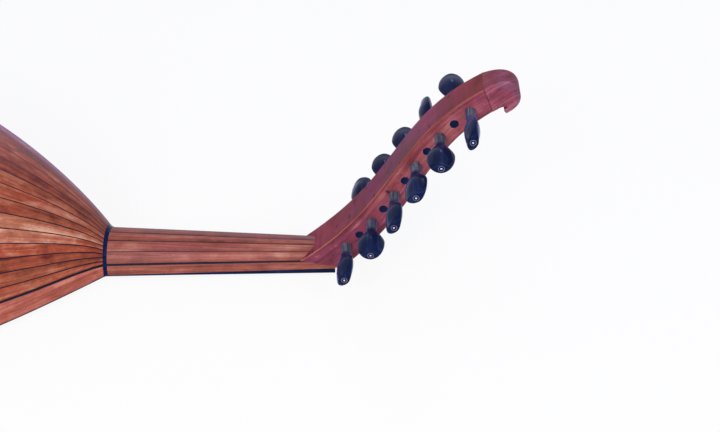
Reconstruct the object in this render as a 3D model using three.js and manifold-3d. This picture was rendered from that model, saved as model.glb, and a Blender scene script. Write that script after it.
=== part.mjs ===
// Oud: a short-necked, fretless lute with a bowl of bent ribs, eleven strings and a bent-back pegbox.
// All lengths are in millimetres.
// The instrument is drawn in its own frame and laid face down, on its bridge and nut, in the last lines.
// Own frame: x = 0 is the joint of neck and bowl, +x runs to the pegbox, -y is the bass side,
// z = 0 is the playing face of the soundboard and fingerboard, and +z goes into the bowl and out of its back.

import * as THREE from 'three';
import { mergeVertices } from 'three/addons/utils/BufferGeometryUtils.js';
import Module from 'manifold-3d';

const wasm = await Module();
wasm.setup();

const { cos, sin, sqrt, exp, hypot, sign, abs, acos, asin, atan2, min, max, PI } = Math;
const { lerp, degToRad } = THREE.MathUtils;
const vec2 = (x, y) => new THREE.Vector2(x, y);
const vec3 = (x, y, z) => new THREE.Vector3(x, y, z);

// Clearances
const glueGap = 0.3;
const pegGap = 0.3;
const stringGap = 0.3;
const cutOverrun = 6;

// Bowl
const bowlLength = 490;
const widestFromNeck = 310;
const widestHalfWidth = 182;
const bowlDepth = 188;
const throatHalfWidth = 26.5;
const throatDepth = 28.8;
const planFlareAngle = degToRad(45);
const planFlareReach = 134.4;
const planCrownReach = 140.4;
const backFlareAngle = degToRad(57.9);
const backFlareReach = 86.9;
const backCrownReach = 105.2;
const ribThickness = 2.8;
const middleRibCount = 20;
const ribNarrowingShare = 0.012;
const sideBandAngle = degToRad(11.5);
const sideBandThroatAngle = degToRad(22);
const sideBandSettleLength = 30;
const shoulderSteps = 10;
const tailSteps = 8;
const bowlSides = 20;
const tinyShare = 0.002;

// Tail block with the little cap over the rib ends
const tailHoleRadius = 12.8;
const tailCapRadius = 17;
const tailCapThickness = 1.6;
const tailPlugLength = 14;
const tailBlockLength = 24;
const tailBlockHalfWidth = 62;
const tailBlockDepth = 52;

// Neck, its joint ring and its block in the bowl
const neckLength = 200;
const nutHalfWidth = 17.8;
const neckDepthAtNut = 21.5;
const neckSquareness = 2.3;
const neckSides = 16;
const neckSteps = 4;
const ringHalfWidth = 1.6;
const ringThickness = 2.6;
const ringProud = 0.3;
const dowelRadius = 6;
const dowelLength = 24;
const dowelHeight = 14;
const neckBlockLength = 36;

// Fingerboard and nut
const fingerboardThicknessAtJoint = 1;
const fingerboardThicknessAtNut = 4.6;
const nutThickness = 3.2;
const nutHeight = 1.9;
const nutSeatDepth = 5.4;

// Soundboard, braces and sound holes
const soundboardThickness = 2;
const braceWidth = 5;
const braceHeight = 13;
const braceRoot = 0.4;
const braceMargin = 3;
const upperBraceShare = 0.58;
const lowerBraceShares = [0.28, 0.72];
const mainHoleFromNeck = 165;
const mainHoleRadius = 50;
const smallHoleFromNeck = 286;
const smallHoleOffset = 72;
const smallHoleRadius = 21;
const holeSides = 32;
const rosetteSeat = 4;
const rosetteThickness = 1.5;

// Bridge
const scaleLength = 600;
const bridgeHalfWidth = 58;
const bridgeBodyHalfWidth = 47;
const bridgeDepth = 13;
const bridgeTopInset = 1.6;
const bridgeHeight = 9.8;
const bridgeWingHeight = 3.2;
const stringHoleRadius = 1;
const stringHoleHeight = 6.8;

// Strings: single bass course first, then five pairs
const stringRadii = [0.55, 0.5, 0.5, 0.45, 0.45, 0.4, 0.4, 0.35, 0.35, 0.3, 0.3];
const nutLaneHalfSpread = 13.9;
const nutPairSpacing = 2.6;
const bridgeLaneHalfSpread = 38.5;
const bridgePairSpacing = 4;
const courseCount = 6;
const stringLift = 0.35;
const knotRadius = 0.9;
const knotLength = 1.6;
const stringSides = 5;
const wrapTurns = 1.25;
const wrapSteps = 9;
const cornerSteps = 3;
const wrapSpacing = 0.4;
const laneMargin = 3.4;

// Pegbox: a line through the peg centres carries cheeks, back and pegs
const pegLineStartBeforeNut = 33;
const pegLineStartOutside = 7.6;
const pegLineEndPastNut = 127;
const pegLineEndHeight = 171.8;
const pegLineStartAngle = degToRad(35.4);
const pegLineStartReach = 124.1;
const pegLineEndAngle = degToRad(31.9);
const pegLineEndReach = 85.6;
const pegboxHalfDepthAtRoot = 14.5;
const pegboxHalfDepthAtEnd = 10.6;
const pegboxHalfWidthAtNut = 18.7;
const pegboxHalfWidthAtEnd = 14.7;
const endLean = 3.8;
const rootNarrowing = 2.2;
const rootBlendLength = 42;
const rootBlendStartShare = 0.2;
const cheekThickness = 4.5;
const pegboxBackThickness = 3;
const backEdgeBevel = 1.1;
const ledgeStartFromNut = 28.5;
const ledgeStartDepth = 12;
const ledgeEndDepth = 7.4;
const ledgeCutLength = 85;
const rootBlockClearance = 8.5;
const pegboxSteps = 17;

// Finial: a scroll-like head that closes the pegbox
const noseAlong = 22.3;
const noseInFront = 10.3;
const noseTurn = degToRad(-109);
const noseReachBefore = 10.5;
const noseReachAfter = 7.6;
const scrollReach = 20.6;
const lipAlong = 5.2;
const lipInFront = 17.6;
const lipTurn = degToRad(-10);
const lipReach = 7.6;
const lipWidth = 3.6;
const notchWidth = 2.2;
const notchDepth = 4;
const scrollSteps = 18;
const scrollBevel = 6;
const edgeBevel = 0.7;

// Pegs
const pegPitch = 16.7;
const firstPegFromRoot = 57;
const bassPegCount = 6;
const treblePegCount = 5;
const pegRadiusAtHead = 4.35;
const pegRadiusAtFoot = 3.4;
const pegFootProud = 0.4;
const pegCollarLength = 12.5;
const pegReach = 48;
const pegHeadHalfWidth = 11.4;
const pegHeadHalfThickness = 6.4;
const pegTipHalfWidth = 5.8;
const pegTipHalfThickness = 4.4;
const pegTipRounding = 0.7;
const pegLensPower = 1.45;
const pegFlarePower = 1.6;
const pegSides = 12;
const pegHoleSides = 12;
const bassPegTurns = [-65, -5, -60, -40, -5, -80].map(degToRad);
const treblePegTurns = [-35, 0, -5, -80, -5].map(degToRad);

// Shared places
const nutRear = neckLength + glueGap + nutThickness;
const bridgeFront = neckLength - scaleLength;
const bridgeMiddle = bridgeFront - bridgeDepth / 2;
const nutMiddle = neckLength + glueGap + nutThickness / 2;
const boardTop = soundboardThickness + glueGap;
const restSlope = (bridgeHeight - nutHeight) / (nutMiddle - bridgeMiddle);
const restHeight = (x) => -nutHeight - (nutMiddle - x) * restSlope;
const pegLineStart = vec2(neckLength - pegLineStartBeforeNut, -pegLineStartOutside);
const pegLineEnd = vec2(neckLength + pegLineEndPastNut, pegLineEndHeight);
const farOut = bowlLength;

// Finishes
const finish = (color, roughness, metalness = 0) =>
  new THREE.MeshStandardMaterial({ color, roughness, metalness });
const finishes = {
  lightRib: finish(0xb4573c, 0.35),
  darkRib: finish(0x8f3f33, 0.35),
  sideBand: finish(0x9a4433, 0.35),
  neck: finish(0xa34c3c, 0.4),
  pegbox: finish(0x8c3a33, 0.4),
  pegboxBack: finish(0x6d2b30, 0.4),
  ebony: finish(0x14141c, 0.3),
  bone: finish(0xe8e2d2, 0.5),
  spruce: finish(0xd9ae6f, 0.55),
  rosette: finish(0x6b4226, 0.6),
  bridge: finish(0x3a2218, 0.45),
  nylon: finish(0xe9e4da, 0.3),
  woundString: finish(0xb9b9bd, 0.35, 0.8),
  block: finish(0xcaa373, 0.7),
};

// Solid modelling helpers

// Turns a geometry into a solid for joining and cutting
function solidOf(geometry) {
  const bare = geometry.clone();
  bare.deleteAttribute('normal');
  bare.deleteAttribute('uv');
  const merged = mergeVertices(bare);
  return new wasm.Manifold(new wasm.Mesh({
    numProp: 3,
    vertProperties: new Float32Array(merged.attributes.position.array),
    triVerts: new Uint32Array(merged.index.array),
  }));
}

// Turns a solid back into a geometry
function geometryOf(solid) {
  const mesh = solid.getMesh();
  const geometry = new THREE.BufferGeometry();
  geometry.setAttribute('position', new THREE.BufferAttribute(mesh.vertProperties, 3));
  geometry.setIndex(new THREE.BufferAttribute(mesh.triVerts, 1));
  return geometry;
}

// Makes every face of a closed geometry point out, going by the sign of its volume
function facingOut(geometry) {
  const { array } = geometry.attributes.position;
  const corners = geometry.index.array;
  const point = (i) => new THREE.Vector3().fromArray(array, 3 * corners[i]);
  let volume = 0;
  for (let i = 0; i < corners.length; i += 3) {
    volume += point(i).dot(point(i + 1).cross(point(i + 2)));
  }
  if (volume < 0) {
    for (let i = 0; i < corners.length; i += 3) {
      [corners[i], corners[i + 1]] = [corners[i + 1], corners[i]];
    }
  }
  return geometry;
}

// Skins a row of rings that have equally many points, and closes both ends with flat fans or given triangles
function loft(rings, endTriangles) {
  const count = rings[0].length;
  const fan = endTriangles ?? Array.from({ length: count - 2 }, (_, i) => [0, i + 1, i + 2]);
  const index = [];
  for (let i = 0; i + 1 < rings.length; i++) {
    for (let j = 0; j < count; j++) {
      const a = i * count + j;
      const b = i * count + (j + 1) % count;
      index.push(a, b, a + count, b, b + count, a + count);
    }
  }
  const last = (rings.length - 1) * count;
  fan.forEach(([a, b, c]) => {
    index.push(a, c, b);
    index.push(last + a, last + b, last + c);
  });
  const geometry = new THREE.BufferGeometry().setFromPoints(rings.flat());
  geometry.setIndex(index);
  return facingOut(geometry);
}

// Shape given a thickness along z
function extrusion(shape, depth, curveSegments) {
  return new THREE.ExtrudeGeometry(shape, { depth, bevelEnabled: false, curveSegments });
}

// Prism whose outline lies in the side view: x to the right, z up, symmetric about y = 0
function sidePrism(outline, halfWidth) {
  const geometry = extrusion(new THREE.Shape(outline), 2 * halfWidth);
  return solidOf(geometry.rotateX(PI / 2).translate(0, halfWidth, 0));
}

// Box between two corners
function boxSolid(low, high) {
  const size = high.clone().sub(low);
  const middle = high.clone().add(low).multiplyScalar(0.5);
  return solidOf(new THREE.BoxGeometry(...size).translate(...middle));
}

// Round bar along y, tapering from its low end to its high end
function crossBar(centre, lowY, highY, lowRadius, highRadius, sides) {
  const bar = new THREE.CylinderGeometry(highRadius, lowRadius, highY - lowY, sides);
  return solidOf(bar.translate(0, (lowY + highY) / 2, 0).translate(centre.x, 0, centre.y));
}

// Round tube through points, with one radius or one for each point
function tube(points, radii, sides) {
  const tangents = points.map((_, i) => {
    const before = points[max(i - 1, 0)];
    const after = points[min(i + 1, points.length - 1)];
    return after.clone().sub(before).normalize();
  });
  const side = vec3(0, 1, 0);
  const rings = points.map((point, i) => {
    side.addScaledVector(tangents[i], -side.dot(tangents[i])).normalize();
    const up = tangents[i].clone().cross(side);
    const radius = Array.isArray(radii) ? radii[i] : radii;
    return Array.from({ length: sides }, (_, j) => {
      const angle = 2 * PI * j / sides;
      return point.clone()
        .addScaledVector(side, radius * cos(angle))
        .addScaledVector(up, radius * sin(angle));
    });
  });
  return loft(rings);
}

// Everything on the far side of the soundboard's inner face
const aboveBoard = boxSolid(vec3(-farOut - cutOverrun, -farOut, boardTop), vec3(farOut, farOut, farOut));

// Bowl surface

// Outline from the throat to the widest place, drawn as distance from the neck and height
function flareCurve({ throat, crown, angle, flareReach, crownReach }) {
  return new THREE.CubicBezierCurve(
    vec2(0, throat),
    vec2(flareReach * cos(angle), throat + flareReach * sin(angle)),
    vec2(widestFromNeck - crownReach, crown),
    vec2(widestFromNeck, crown),
  );
}

const planFlare = flareCurve({
  throat: throatHalfWidth,
  crown: widestHalfWidth,
  angle: planFlareAngle,
  flareReach: planFlareReach,
  crownReach: planCrownReach,
});
const backFlare = flareCurve({
  throat: throatDepth,
  crown: bowlDepth,
  angle: backFlareAngle,
  flareReach: backFlareReach,
  crownReach: backCrownReach,
});

// Height of a flare at a distance from the neck
function heightAt(flare, distance) {
  let low = 0;
  let high = 1;
  for (let i = 0; i < 30; i++) {
    const middle = (low + high) / 2;
    if (flare.getPoint(middle).x < distance) low = middle;
    else high = middle;
  }
  return flare.getPoint((low + high) / 2).y;
}

// Half width, depth and distance at a station: 0 is the neck joint, 1 the widest place and 2 the tail
function bowlSection(station) {
  const shoulder = widestFromNeck * min(station, 1);
  const tail = max(station - 1, 0) * PI / 2;
  return {
    distance: shoulder + (bowlLength - widestFromNeck) * sin(tail),
    halfWidth: heightAt(planFlare, shoulder) * cos(tail),
    depth: heightAt(backFlare, shoulder) * cos(tail),
  };
}

// Point on the outside of the bowl; the angle runs from the bass edge over the back to the treble edge
function bowlPoint(station, angle) {
  const { distance, halfWidth, depth } = bowlSection(station);
  return vec3(-distance, -halfWidth * cos(angle), depth * sin(angle));
}

// Point at a given depth under the outside of the bowl
function bowlSkin(station, angle, under) {
  const along = bowlPoint(station + tinyShare, angle).sub(bowlPoint(max(station - tinyShare, 0), angle));
  const across = bowlPoint(station, angle + tinyShare).sub(bowlPoint(station, angle - tinyShare));
  return bowlPoint(station, angle).addScaledVector(across.cross(along).normalize(), -under);
}

const firstRibStation = (ringHalfWidth + glueGap) / widestFromNeck;
const lastRibStation = 1 + acos(tailHoleRadius / widestHalfWidth) / (PI / 2);
const bowlStations = [
  ...Array.from({ length: shoulderSteps }, (_, i) => lerp(firstRibStation, 1, i / shoulderSteps)),
  ...Array.from({ length: tailSteps + 1 }, (_, i) => lerp(1, lastRibStation, i / tailSteps)),
];

// Space inside the ribs, for everything that is fitted in the bowl
const bowlCore = solidOf(loft([0, ...bowlStations].map((station) =>
  Array.from({ length: bowlSides + 1 }, (_, i) =>
    bowlSkin(station, PI * i / bowlSides, ribThickness + glueGap)))));

// Ribs

// Angle of a seam between ribs: seam 0 is the edge of the bass side band, and outer ribs are narrower
function seamAngle(station, seam) {
  const { distance } = bowlSection(station);
  const settled = 1 - exp(-distance / sideBandSettleLength);
  const band = lerp(sideBandThroatAngle, sideBandAngle, settled);
  const share = seam / middleRibCount;
  return band + (PI - 2 * band) * (share - ribNarrowingShare * sin(2 * PI * share));
}

// Seam angle moved aside by half of the glue gap
function besideSeam(station, seam, side) {
  const { halfWidth, depth } = bowlSection(station);
  const angle = seamAngle(station, seam);
  return angle + side * glueGap / 2 / hypot(halfWidth * sin(angle), depth * cos(angle));
}

// Bent strip of wood between two edges, with flat facets across it
function bentStrip(lowEdge, highEdge, facets) {
  return loft(bowlStations.map((station) => {
    const angles = Array.from({ length: facets + 1 }, (_, i) =>
      lerp(lowEdge(station), highEdge(station), i / facets));
    const outer = angles.map((angle) => bowlSkin(station, angle, 0));
    const inner = angles.reverse().map((angle) => bowlSkin(station, angle, ribThickness));
    return [...outer, ...inner];
  }));
}

function middleRib(number) {
  return bentStrip(
    (station) => besideSeam(station, number, 1),
    (station) => besideSeam(station, number + 1, -1),
    1,
  );
}

function sideBand(isTreble) {
  const band = isTreble
    ? bentStrip((station) => besideSeam(station, middleRibCount, 1), () => PI, 2)
    : bentStrip(() => 0, (station) => besideSeam(station, 0, -1), 2);
  return geometryOf(solidOf(band).intersect(aboveBoard));
}

// Half disc around the point where the ribs meet at the tail
function tailDisc(radius, fromX, toX) {
  const disc = new THREE.CylinderGeometry(radius, radius, fromX - toX, bowlSides);
  return solidOf(disc.rotateZ(PI / 2).translate((fromX + toX) / 2, 0, 0)).intersect(aboveBoard);
}

function tailBlock() {
  const tailEnd = -bowlLength - glueGap;
  const block = bowlCore.intersect(boxSolid(
    vec3(-bowlLength, -tailBlockHalfWidth, boardTop),
    vec3(tailBlockLength - bowlLength, tailBlockHalfWidth, tailBlockDepth),
  ));
  const plugEnd = tailEnd - tailCapThickness / 2;
  const plug = tailDisc(tailHoleRadius - 2 * glueGap, tailEnd + tailPlugLength, plugEnd);
  const cap = tailDisc(tailCapRadius, tailEnd, tailEnd - tailCapThickness);
  return geometryOf(block.add(plug).add(cap));
}

// Neck

// Half section of the neck: round at the body, squarer at the nut
function neckSection(x, inset) {
  const share = x / neckLength;
  const halfWidth = lerp(throatHalfWidth, nutHalfWidth, share) - inset;
  const depth = lerp(throatDepth, neckDepthAtNut, share) - inset;
  const power = 2 / lerp(2, neckSquareness, share);
  return Array.from({ length: neckSides + 1 }, (_, i) => {
    const angle = PI * i / neckSides;
    const curve = (value) => sign(value) * abs(value) ** power;
    return vec3(x, -halfWidth * curve(cos(angle)), depth * curve(sin(angle)));
  });
}

function neckLoft(fromX, toX, inset) {
  const places = Array.from({ length: neckSteps + 1 }, (_, i) => lerp(fromX, toX, i / neckSteps));
  return solidOf(loft(places.map((x) => neckSection(x, inset))));
}

// Depth of the seam between fingerboard and neck
const fingerboardDepth = (x) => lerp(fingerboardThicknessAtJoint, fingerboardThicknessAtNut, x / neckLength);

// Wedge under the fingerboard's seam, between two places along the neck
function fingerboardWedge(fromX, toX, extraDepth) {
  return sidePrism([
    vec2(fromX, -cutOverrun),
    vec2(toX, -cutOverrun),
    vec2(toX, fingerboardDepth(toX) + extraDepth),
    vec2(fromX, fingerboardDepth(fromX) + extraDepth),
  ], throatHalfWidth + cutOverrun);
}

function fingerboard() {
  return geometryOf(neckLoft(glueGap, neckLength, 0).intersect(fingerboardWedge(glueGap, neckLength, 0)));
}

// Band let in round the joint of neck and bowl
function jointRing() {
  const bowlSide = (under) => Array.from({ length: neckSides + 1 }, (_, i) => {
    const point = bowlPoint(ringHalfWidth / widestFromNeck, PI * i / neckSides);
    return point.multiply(vec3(1, 1 - under / throatHalfWidth, 1 - under / throatDepth));
  });
  const neckSide = [0, ringHalfWidth].map((x) => neckSection(x, -ringProud));
  const outer = solidOf(loft([bowlSide(-ringProud), ...neckSide]));
  const inner = neckLoft(-ringHalfWidth - cutOverrun, ringHalfWidth + cutOverrun, ringThickness);
  return geometryOf(outer.subtract(inner).intersect(aboveBoard));
}

function neckDowel(radius) {
  const startX = neckBlockLength / 2;
  const bar = new THREE.CylinderGeometry(radius, radius, startX + dowelLength, neckSides);
  return solidOf(bar.rotateZ(PI / 2).translate((startX - dowelLength) / 2, 0, dowelHeight));
}

function neck() {
  const heel = ringHalfWidth + glueGap;
  const shaft = neckLoft(heel, nutRear, 0)
    .subtract(fingerboardWedge(-cutOverrun, nutRear + cutOverrun, glueGap))
    .subtract(boxSolid(
      vec3(neckLength, -farOut, -cutOverrun),
      vec3(nutRear + cutOverrun, farOut, nutSeatDepth + glueGap),
    ))
    .subtract(pegboxSeat());
  const tenon = neckLoft(-ringHalfWidth, heel + cutOverrun, ringThickness + glueGap)
    .intersect(aboveBoard)
    .subtract(fingerboardWedge(-cutOverrun, nutRear, glueGap));
  return geometryOf(shaft.add(tenon).add(neckDowel(dowelRadius)));
}

function neckBlock() {
  const block = bowlCore.intersect(boxSolid(
    vec3(-neckBlockLength, -farOut, boardTop),
    vec3(-ringHalfWidth - glueGap, farOut, farOut),
  ));
  return geometryOf(block.subtract(neckDowel(dowelRadius + glueGap)));
}

// Bone nut: its crown lies in the plane on which the instrument rests, with a slot for each string
function nut() {
  const front = neckLength + glueGap;
  const body = sidePrism([
    vec2(front, restHeight(front)),
    vec2(nutRear, restHeight(nutRear)),
    vec2(nutRear, nutSeatDepth),
    vec2(front, nutSeatDepth),
  ], nutHalfWidth);
  return geometryOf(strings.reduce((solid, { radius, nutY }) => solid.subtract(boxSolid(
    vec3(front - cutOverrun, nutY - radius - stringGap, -nutHeight - cutOverrun),
    vec3(nutRear + cutOverrun, nutY + radius + stringGap, stringGap - stringLift),
  )), body));
}

// Soundboard with its braces, and the rosettes behind its holes

function soundHoles() {
  return [
    { name: 'main', x: -mainHoleFromNeck, y: 0, radius: mainHoleRadius },
    { name: 'bass', x: -smallHoleFromNeck, y: -smallHoleOffset, radius: smallHoleRadius },
    { name: 'treble', x: -smallHoleFromNeck, y: smallHoleOffset, radius: smallHoleRadius },
  ];
}

// Places of the braces: beside the holes, one towards the neck, and the last ones towards the tail
function bracePlaces() {
  const clear = rosetteSeat + braceMargin + braceWidth / 2;
  const besideMain = [-1, 1].map((side) => mainHoleFromNeck + side * (mainHoleRadius + clear));
  const besideSmall = [-1, 1].map((side) => smallHoleFromNeck + side * (smallHoleRadius + clear));
  return [
    upperBraceShare * besideMain[0],
    ...besideMain,
    ...besideSmall,
    ...lowerBraceShares.map((share) => lerp(besideSmall[1], bowlLength, share)),
  ];
}

function soundboard() {
  const edge = [0, ...bowlStations, 2].map((station) => bowlPoint(station, 0));
  const outline = [
    ...edge.map(({ x, y }) => vec2(x, -y)),
    ...edge.reverse().slice(1).map(({ x, y }) => vec2(x, y)),
  ];
  const plate = new THREE.Shape(outline);
  soundHoles().forEach(({ x, y, radius }) => {
    plate.holes.push(new THREE.Path().absarc(x, y, radius, 0, 2 * PI, true));
  });
  const board = solidOf(extrusion(plate, soundboardThickness, holeSides / 2));
  return geometryOf(bracePlaces().reduce((solid, place) => {
    const brace = boxSolid(
      vec3(-place - braceWidth / 2, -farOut, soundboardThickness - braceRoot),
      vec3(-place + braceWidth / 2, farOut, soundboardThickness + braceHeight),
    );
    return solid.add(brace.intersect(bowlCore));
  }, board));
}

// Pierced disc: rings of kite-shaped openings leave a star lattice
const rosetteRings = [
  { count: 8, middleShare: 0.21, reachShare: 0.11, spreadShare: 0.055 },
  { count: 8, middleShare: 0.4, reachShare: 0.12, spreadShare: 0.1, turnShare: 0.5 },
  { count: 16, middleShare: 0.57, reachShare: 0.1, spreadShare: 0.065, turnShare: 0.5 },
  { count: 16, middleShare: 0.75, reachShare: 0.12, spreadShare: 0.09 },
  { count: 16, middleShare: 0.88, reachShare: 0.07, spreadShare: 0.05, turnShare: 0.5 },
];
const smallRosetteRings = [
  { count: 6, middleShare: 0.27, reachShare: 0.15, spreadShare: 0.09 },
  { count: 6, middleShare: 0.57, reachShare: 0.18, spreadShare: 0.16, turnShare: 0.5 },
  { count: 12, middleShare: 0.81, reachShare: 0.11, spreadShare: 0.07, turnShare: 0.5 },
];

function rosette({ x, y, radius }, rings) {
  const disc = new THREE.Shape().absarc(0, 0, radius + rosetteSeat, 0, 2 * PI);
  rings.forEach(({ count, middleShare, reachShare, spreadShare, turnShare = 0 }) => {
    for (let i = 0; i < count; i++) {
      const angle = 2 * PI * (i + turnShare) / count;
      const outward = vec2(cos(angle), sin(angle));
      const sideways = vec2(-sin(angle), cos(angle));
      const corner = (out, side) => outward.clone().multiplyScalar(radius * (middleShare + out * reachShare))
        .addScaledVector(sideways, radius * side * spreadShare);
      disc.holes.push(new THREE.Path([corner(1, 0), corner(0, -1), corner(-1, 0), corner(0, 1)]));
    }
  });
  return extrusion(disc, rosetteThickness, holeSides / 2).translate(x, y, boardTop);
}

// Strings: each runs from a knot behind the bridge, through it and over the nut, to its own peg

// Lane of a string between the two edge lanes: the single bass string, then pairs at an even pitch
function lane(number, halfSpread, pairSpacing) {
  const course = Math.ceil(number / 2);
  const pitch = (2 * halfSpread - pairSpacing / 2) / (courseCount - 1);
  const half = number === 0 ? 0 : (number % 2 === 1 ? -1 : 1);
  return -halfSpread + course * pitch + half * pairSpacing / 2;
}

const strings = stringRadii.map((radius, number) => ({
  radius,
  nutY: lane(number, nutLaneHalfSpread, nutPairSpacing),
  bridgeY: lane(number, bridgeLaneHalfSpread, bridgePairSpacing),
}));

// Point on the straight run of a string, at a place along the instrument
function stringPoint({ radius, nutY, bridgeY }, x) {
  const share = (x - bridgeMiddle) / (nutRear - bridgeMiddle);
  return vec3(x, lerp(bridgeY, nutY, share), lerp(-stringHoleHeight, -stringLift - radius, share));
}

function stringSolid(string, peg) {
  const { radius, nutY } = string;
  const bridgeRear = bridgeFront - bridgeDepth;
  const outward = peg.side;
  const pegY = nutY * (pegboxHalfWidth(peg.centre.x) - cheekThickness - laneMargin) / nutLaneHalfSpread;

  // The corner behind the nut and the wrap round the peg are circles with a common tangent
  const corner = vec2(nutRear, stringGap - stringLift);
  const cornerRadius = radius + stringGap;
  const wrapAngle = 2 * PI * wrapTurns / wrapSteps;
  const wrapRadius = (pegRadiusAt(peg.side, pegY) + stringGap + radius) / cos(wrapAngle / 2);
  const span = peg.centre.clone().sub(corner);
  const tangentAngle = atan2(span.y, span.x) - PI / 2 - asin((wrapRadius - cornerRadius) / span.length());
  const round = (centre, size, angle, y) =>
    vec3(centre.x + size * cos(angle), y, centre.y + size * sin(angle));

  const points = [
    stringPoint(string, bridgeRear - glueGap - knotLength),
    stringPoint(string, bridgeRear - glueGap),
    stringPoint(string, bridgeRear - glueGap + stringGap),
    stringPoint(string, neckLength),
  ];
  for (let i = 0; i <= cornerSteps; i++) {
    points.push(round(corner, cornerRadius, lerp(-PI / 2, tangentAngle, i / cornerSteps), nutY));
  }
  for (let i = 0; i <= wrapSteps; i++) {
    const advance = outward * i / wrapSteps * wrapTurns * (2 * radius + wrapSpacing);
    points.push(round(peg.centre, wrapRadius, tangentAngle + wrapAngle * i, pegY + advance));
  }
  const radii = points.map((_, i) => (i < 2 ? knotRadius : radius));
  return tube(points, radii, stringSides);
}

// Bridge: an end-view outline crossed with a side profile, drilled along each string
function bridge() {
  const bodyTop = -bridgeHeight - cutOverrun;
  const wingTop = -bridgeWingHeight;
  const endView = new THREE.Shape();
  endView.moveTo(-bridgeHalfWidth, 0);
  endView.lineTo(-bridgeHalfWidth, wingTop);
  endView.quadraticCurveTo(-bridgeBodyHalfWidth, wingTop, -bridgeBodyHalfWidth, bodyTop);
  endView.lineTo(bridgeBodyHalfWidth, bodyTop);
  endView.quadraticCurveTo(bridgeBodyHalfWidth, wingTop, bridgeHalfWidth, wingTop);
  endView.lineTo(bridgeHalfWidth, 0);
  const endPrism = extrusion(endView, bridgeDepth + 2 * cutOverrun);
  endPrism.rotateZ(PI / 2).rotateY(PI / 2);
  endPrism.translate(bridgeFront - bridgeDepth - cutOverrun, 0, 0);

  const front = bridgeFront - bridgeTopInset;
  const rear = bridgeFront - bridgeDepth + bridgeTopInset;
  const profile = sidePrism([
    vec2(bridgeFront, -glueGap),
    vec2(front, restHeight(front)),
    vec2(rear, restHeight(rear)),
    vec2(bridgeFront - bridgeDepth, -glueGap),
  ], bridgeHalfWidth + cutOverrun);
  const body = solidOf(endPrism).intersect(profile);
  const drillEnds = [bridgeFront + cutOverrun, bridgeFront - bridgeDepth - cutOverrun];
  return geometryOf(strings.reduce((solid, string) => {
    const drill = tube(drillEnds.map((x) => stringPoint(string, x)), stringHoleRadius, stringSides);
    return solid.subtract(solidOf(drill));
  }, body));
}

// Pegbox

const heading = (angle) => vec2(cos(angle), sin(angle));
const pegLine = new THREE.CubicBezierCurve(
  pegLineStart,
  pegLineStart.clone().addScaledVector(heading(pegLineStartAngle), pegLineStartReach),
  pegLineEnd.clone().addScaledVector(heading(pegLineEndAngle), -pegLineEndReach),
  pegLineEnd,
);

// Point across the peg line in the side view: side 1 is the back face, side -1 the open front
function besidePegLine(share, side, inset) {
  const centre = pegLine.getPoint(share);
  const tangent = pegLine.getTangent(share);
  const reach = side * (lerp(pegboxHalfDepthAtRoot, pegboxHalfDepthAtEnd, share) - inset);
  return vec2(centre.x - tangent.y * reach, centre.y + tangent.x * reach);
}

// Half width of the pegbox: a straight taper that draws in to the neck at the root
function pegboxHalfWidth(x) {
  const taper = lerp(pegboxHalfWidthAtNut, pegboxHalfWidthAtEnd, (x - nutRear) / (pegLineEnd.x - nutRear));
  const intoRoot = min(max((nutRear - x) / rootBlendLength + rootBlendStartShare, 0), 1);
  return taper - rootNarrowing * intoRoot ** 2;
}

// The peg line's speed at its end is three times the reach of its last control point
const endSpeed = 3 * pegLineEndReach;

// Share of the peg line at the end of the front edge, where the joint with the finial leans back
const frontEndShare = 1 - endLean / endSpeed;

// Share of the peg line at a corner of a section: the sections lean like the joint with the finial
function leanedShare(share, side, inset) {
  const across = side * (1 - inset / pegboxHalfDepthAtEnd);
  return share * lerp(frontEndShare, 1, (1 + across) / 2);
}

// Solid along the peg line whose section has corners given by side, inset and distance from the outer face
function pegboxLoft(section, endShare) {
  const rings = Array.from({ length: pegboxSteps + 1 }, (_, i) => {
    const share = endShare * i / pegboxSteps;
    return section.map(({ side, inset, hand, from }) => {
      const { x, y } = besidePegLine(leanedShare(share, side, inset), side, inset);
      return vec3(x, hand * (pegboxHalfWidth(x) - from), y);
    });
  });
  return solidOf(loft(rings));
}

// Depth of the ledge on which the pegbox stands, at the end of the neck
function ledgeDepth(x) {
  const share = (x - neckLength + ledgeStartFromNut) / (nutRear - neckLength + ledgeStartFromNut);
  return lerp(ledgeStartDepth, ledgeEndDepth, share);
}

// Space below the ledge, up to the back of the nut
function belowLedge() {
  const startX = neckLength - ledgeCutLength;
  const endX = nutRear + glueGap;
  return sidePrism([
    vec2(startX, -farOut),
    vec2(endX, -farOut),
    vec2(endX, ledgeDepth(endX)),
    vec2(startX, ledgeDepth(startX)),
  ], farOut);
}

// Notch in the end of the neck that takes the root of the pegbox
function pegboxSeat() {
  const backFace = Array.from({ length: pegboxSteps + 1 }, (_, i) =>
    besidePegLine(i / pegboxSteps / 2, 1, -glueGap));
  const high = backFace[pegboxSteps].y;
  const underBack = sidePrism([
    ...backFace,
    vec2(nutRear + farOut, high),
    vec2(nutRear + farOut, -farOut),
    vec2(backFace[0].x, -farOut),
  ], farOut);
  const startX = neckLength - ledgeCutLength;
  const endX = nutRear + farOut;
  const aboveLedge = sidePrism([
    vec2(startX, ledgeDepth(startX) - glueGap),
    vec2(endX, ledgeDepth(endX) - glueGap),
    vec2(endX, farOut),
    vec2(startX, farOut),
  ], farOut);
  return underBack.intersect(aboveLedge);
}

const pegboxEndShare = 1 - glueGap / endSpeed;
const rootBlockLength = firstPegFromRoot - rootBlockClearance;

// Tapered holes for all the pegs
function pegHoles() {
  const reach = pegboxHalfWidthAtNut + cutOverrun;
  return pegs.map(({ centre, side }) => {
    const wall = (y) => (pegRadiusAt(side, y) + pegGap) / cos(PI / pegHoleSides);
    return crossBar(centre, -reach, reach, wall(-reach), wall(reach), pegHoleSides);
  });
}

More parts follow.
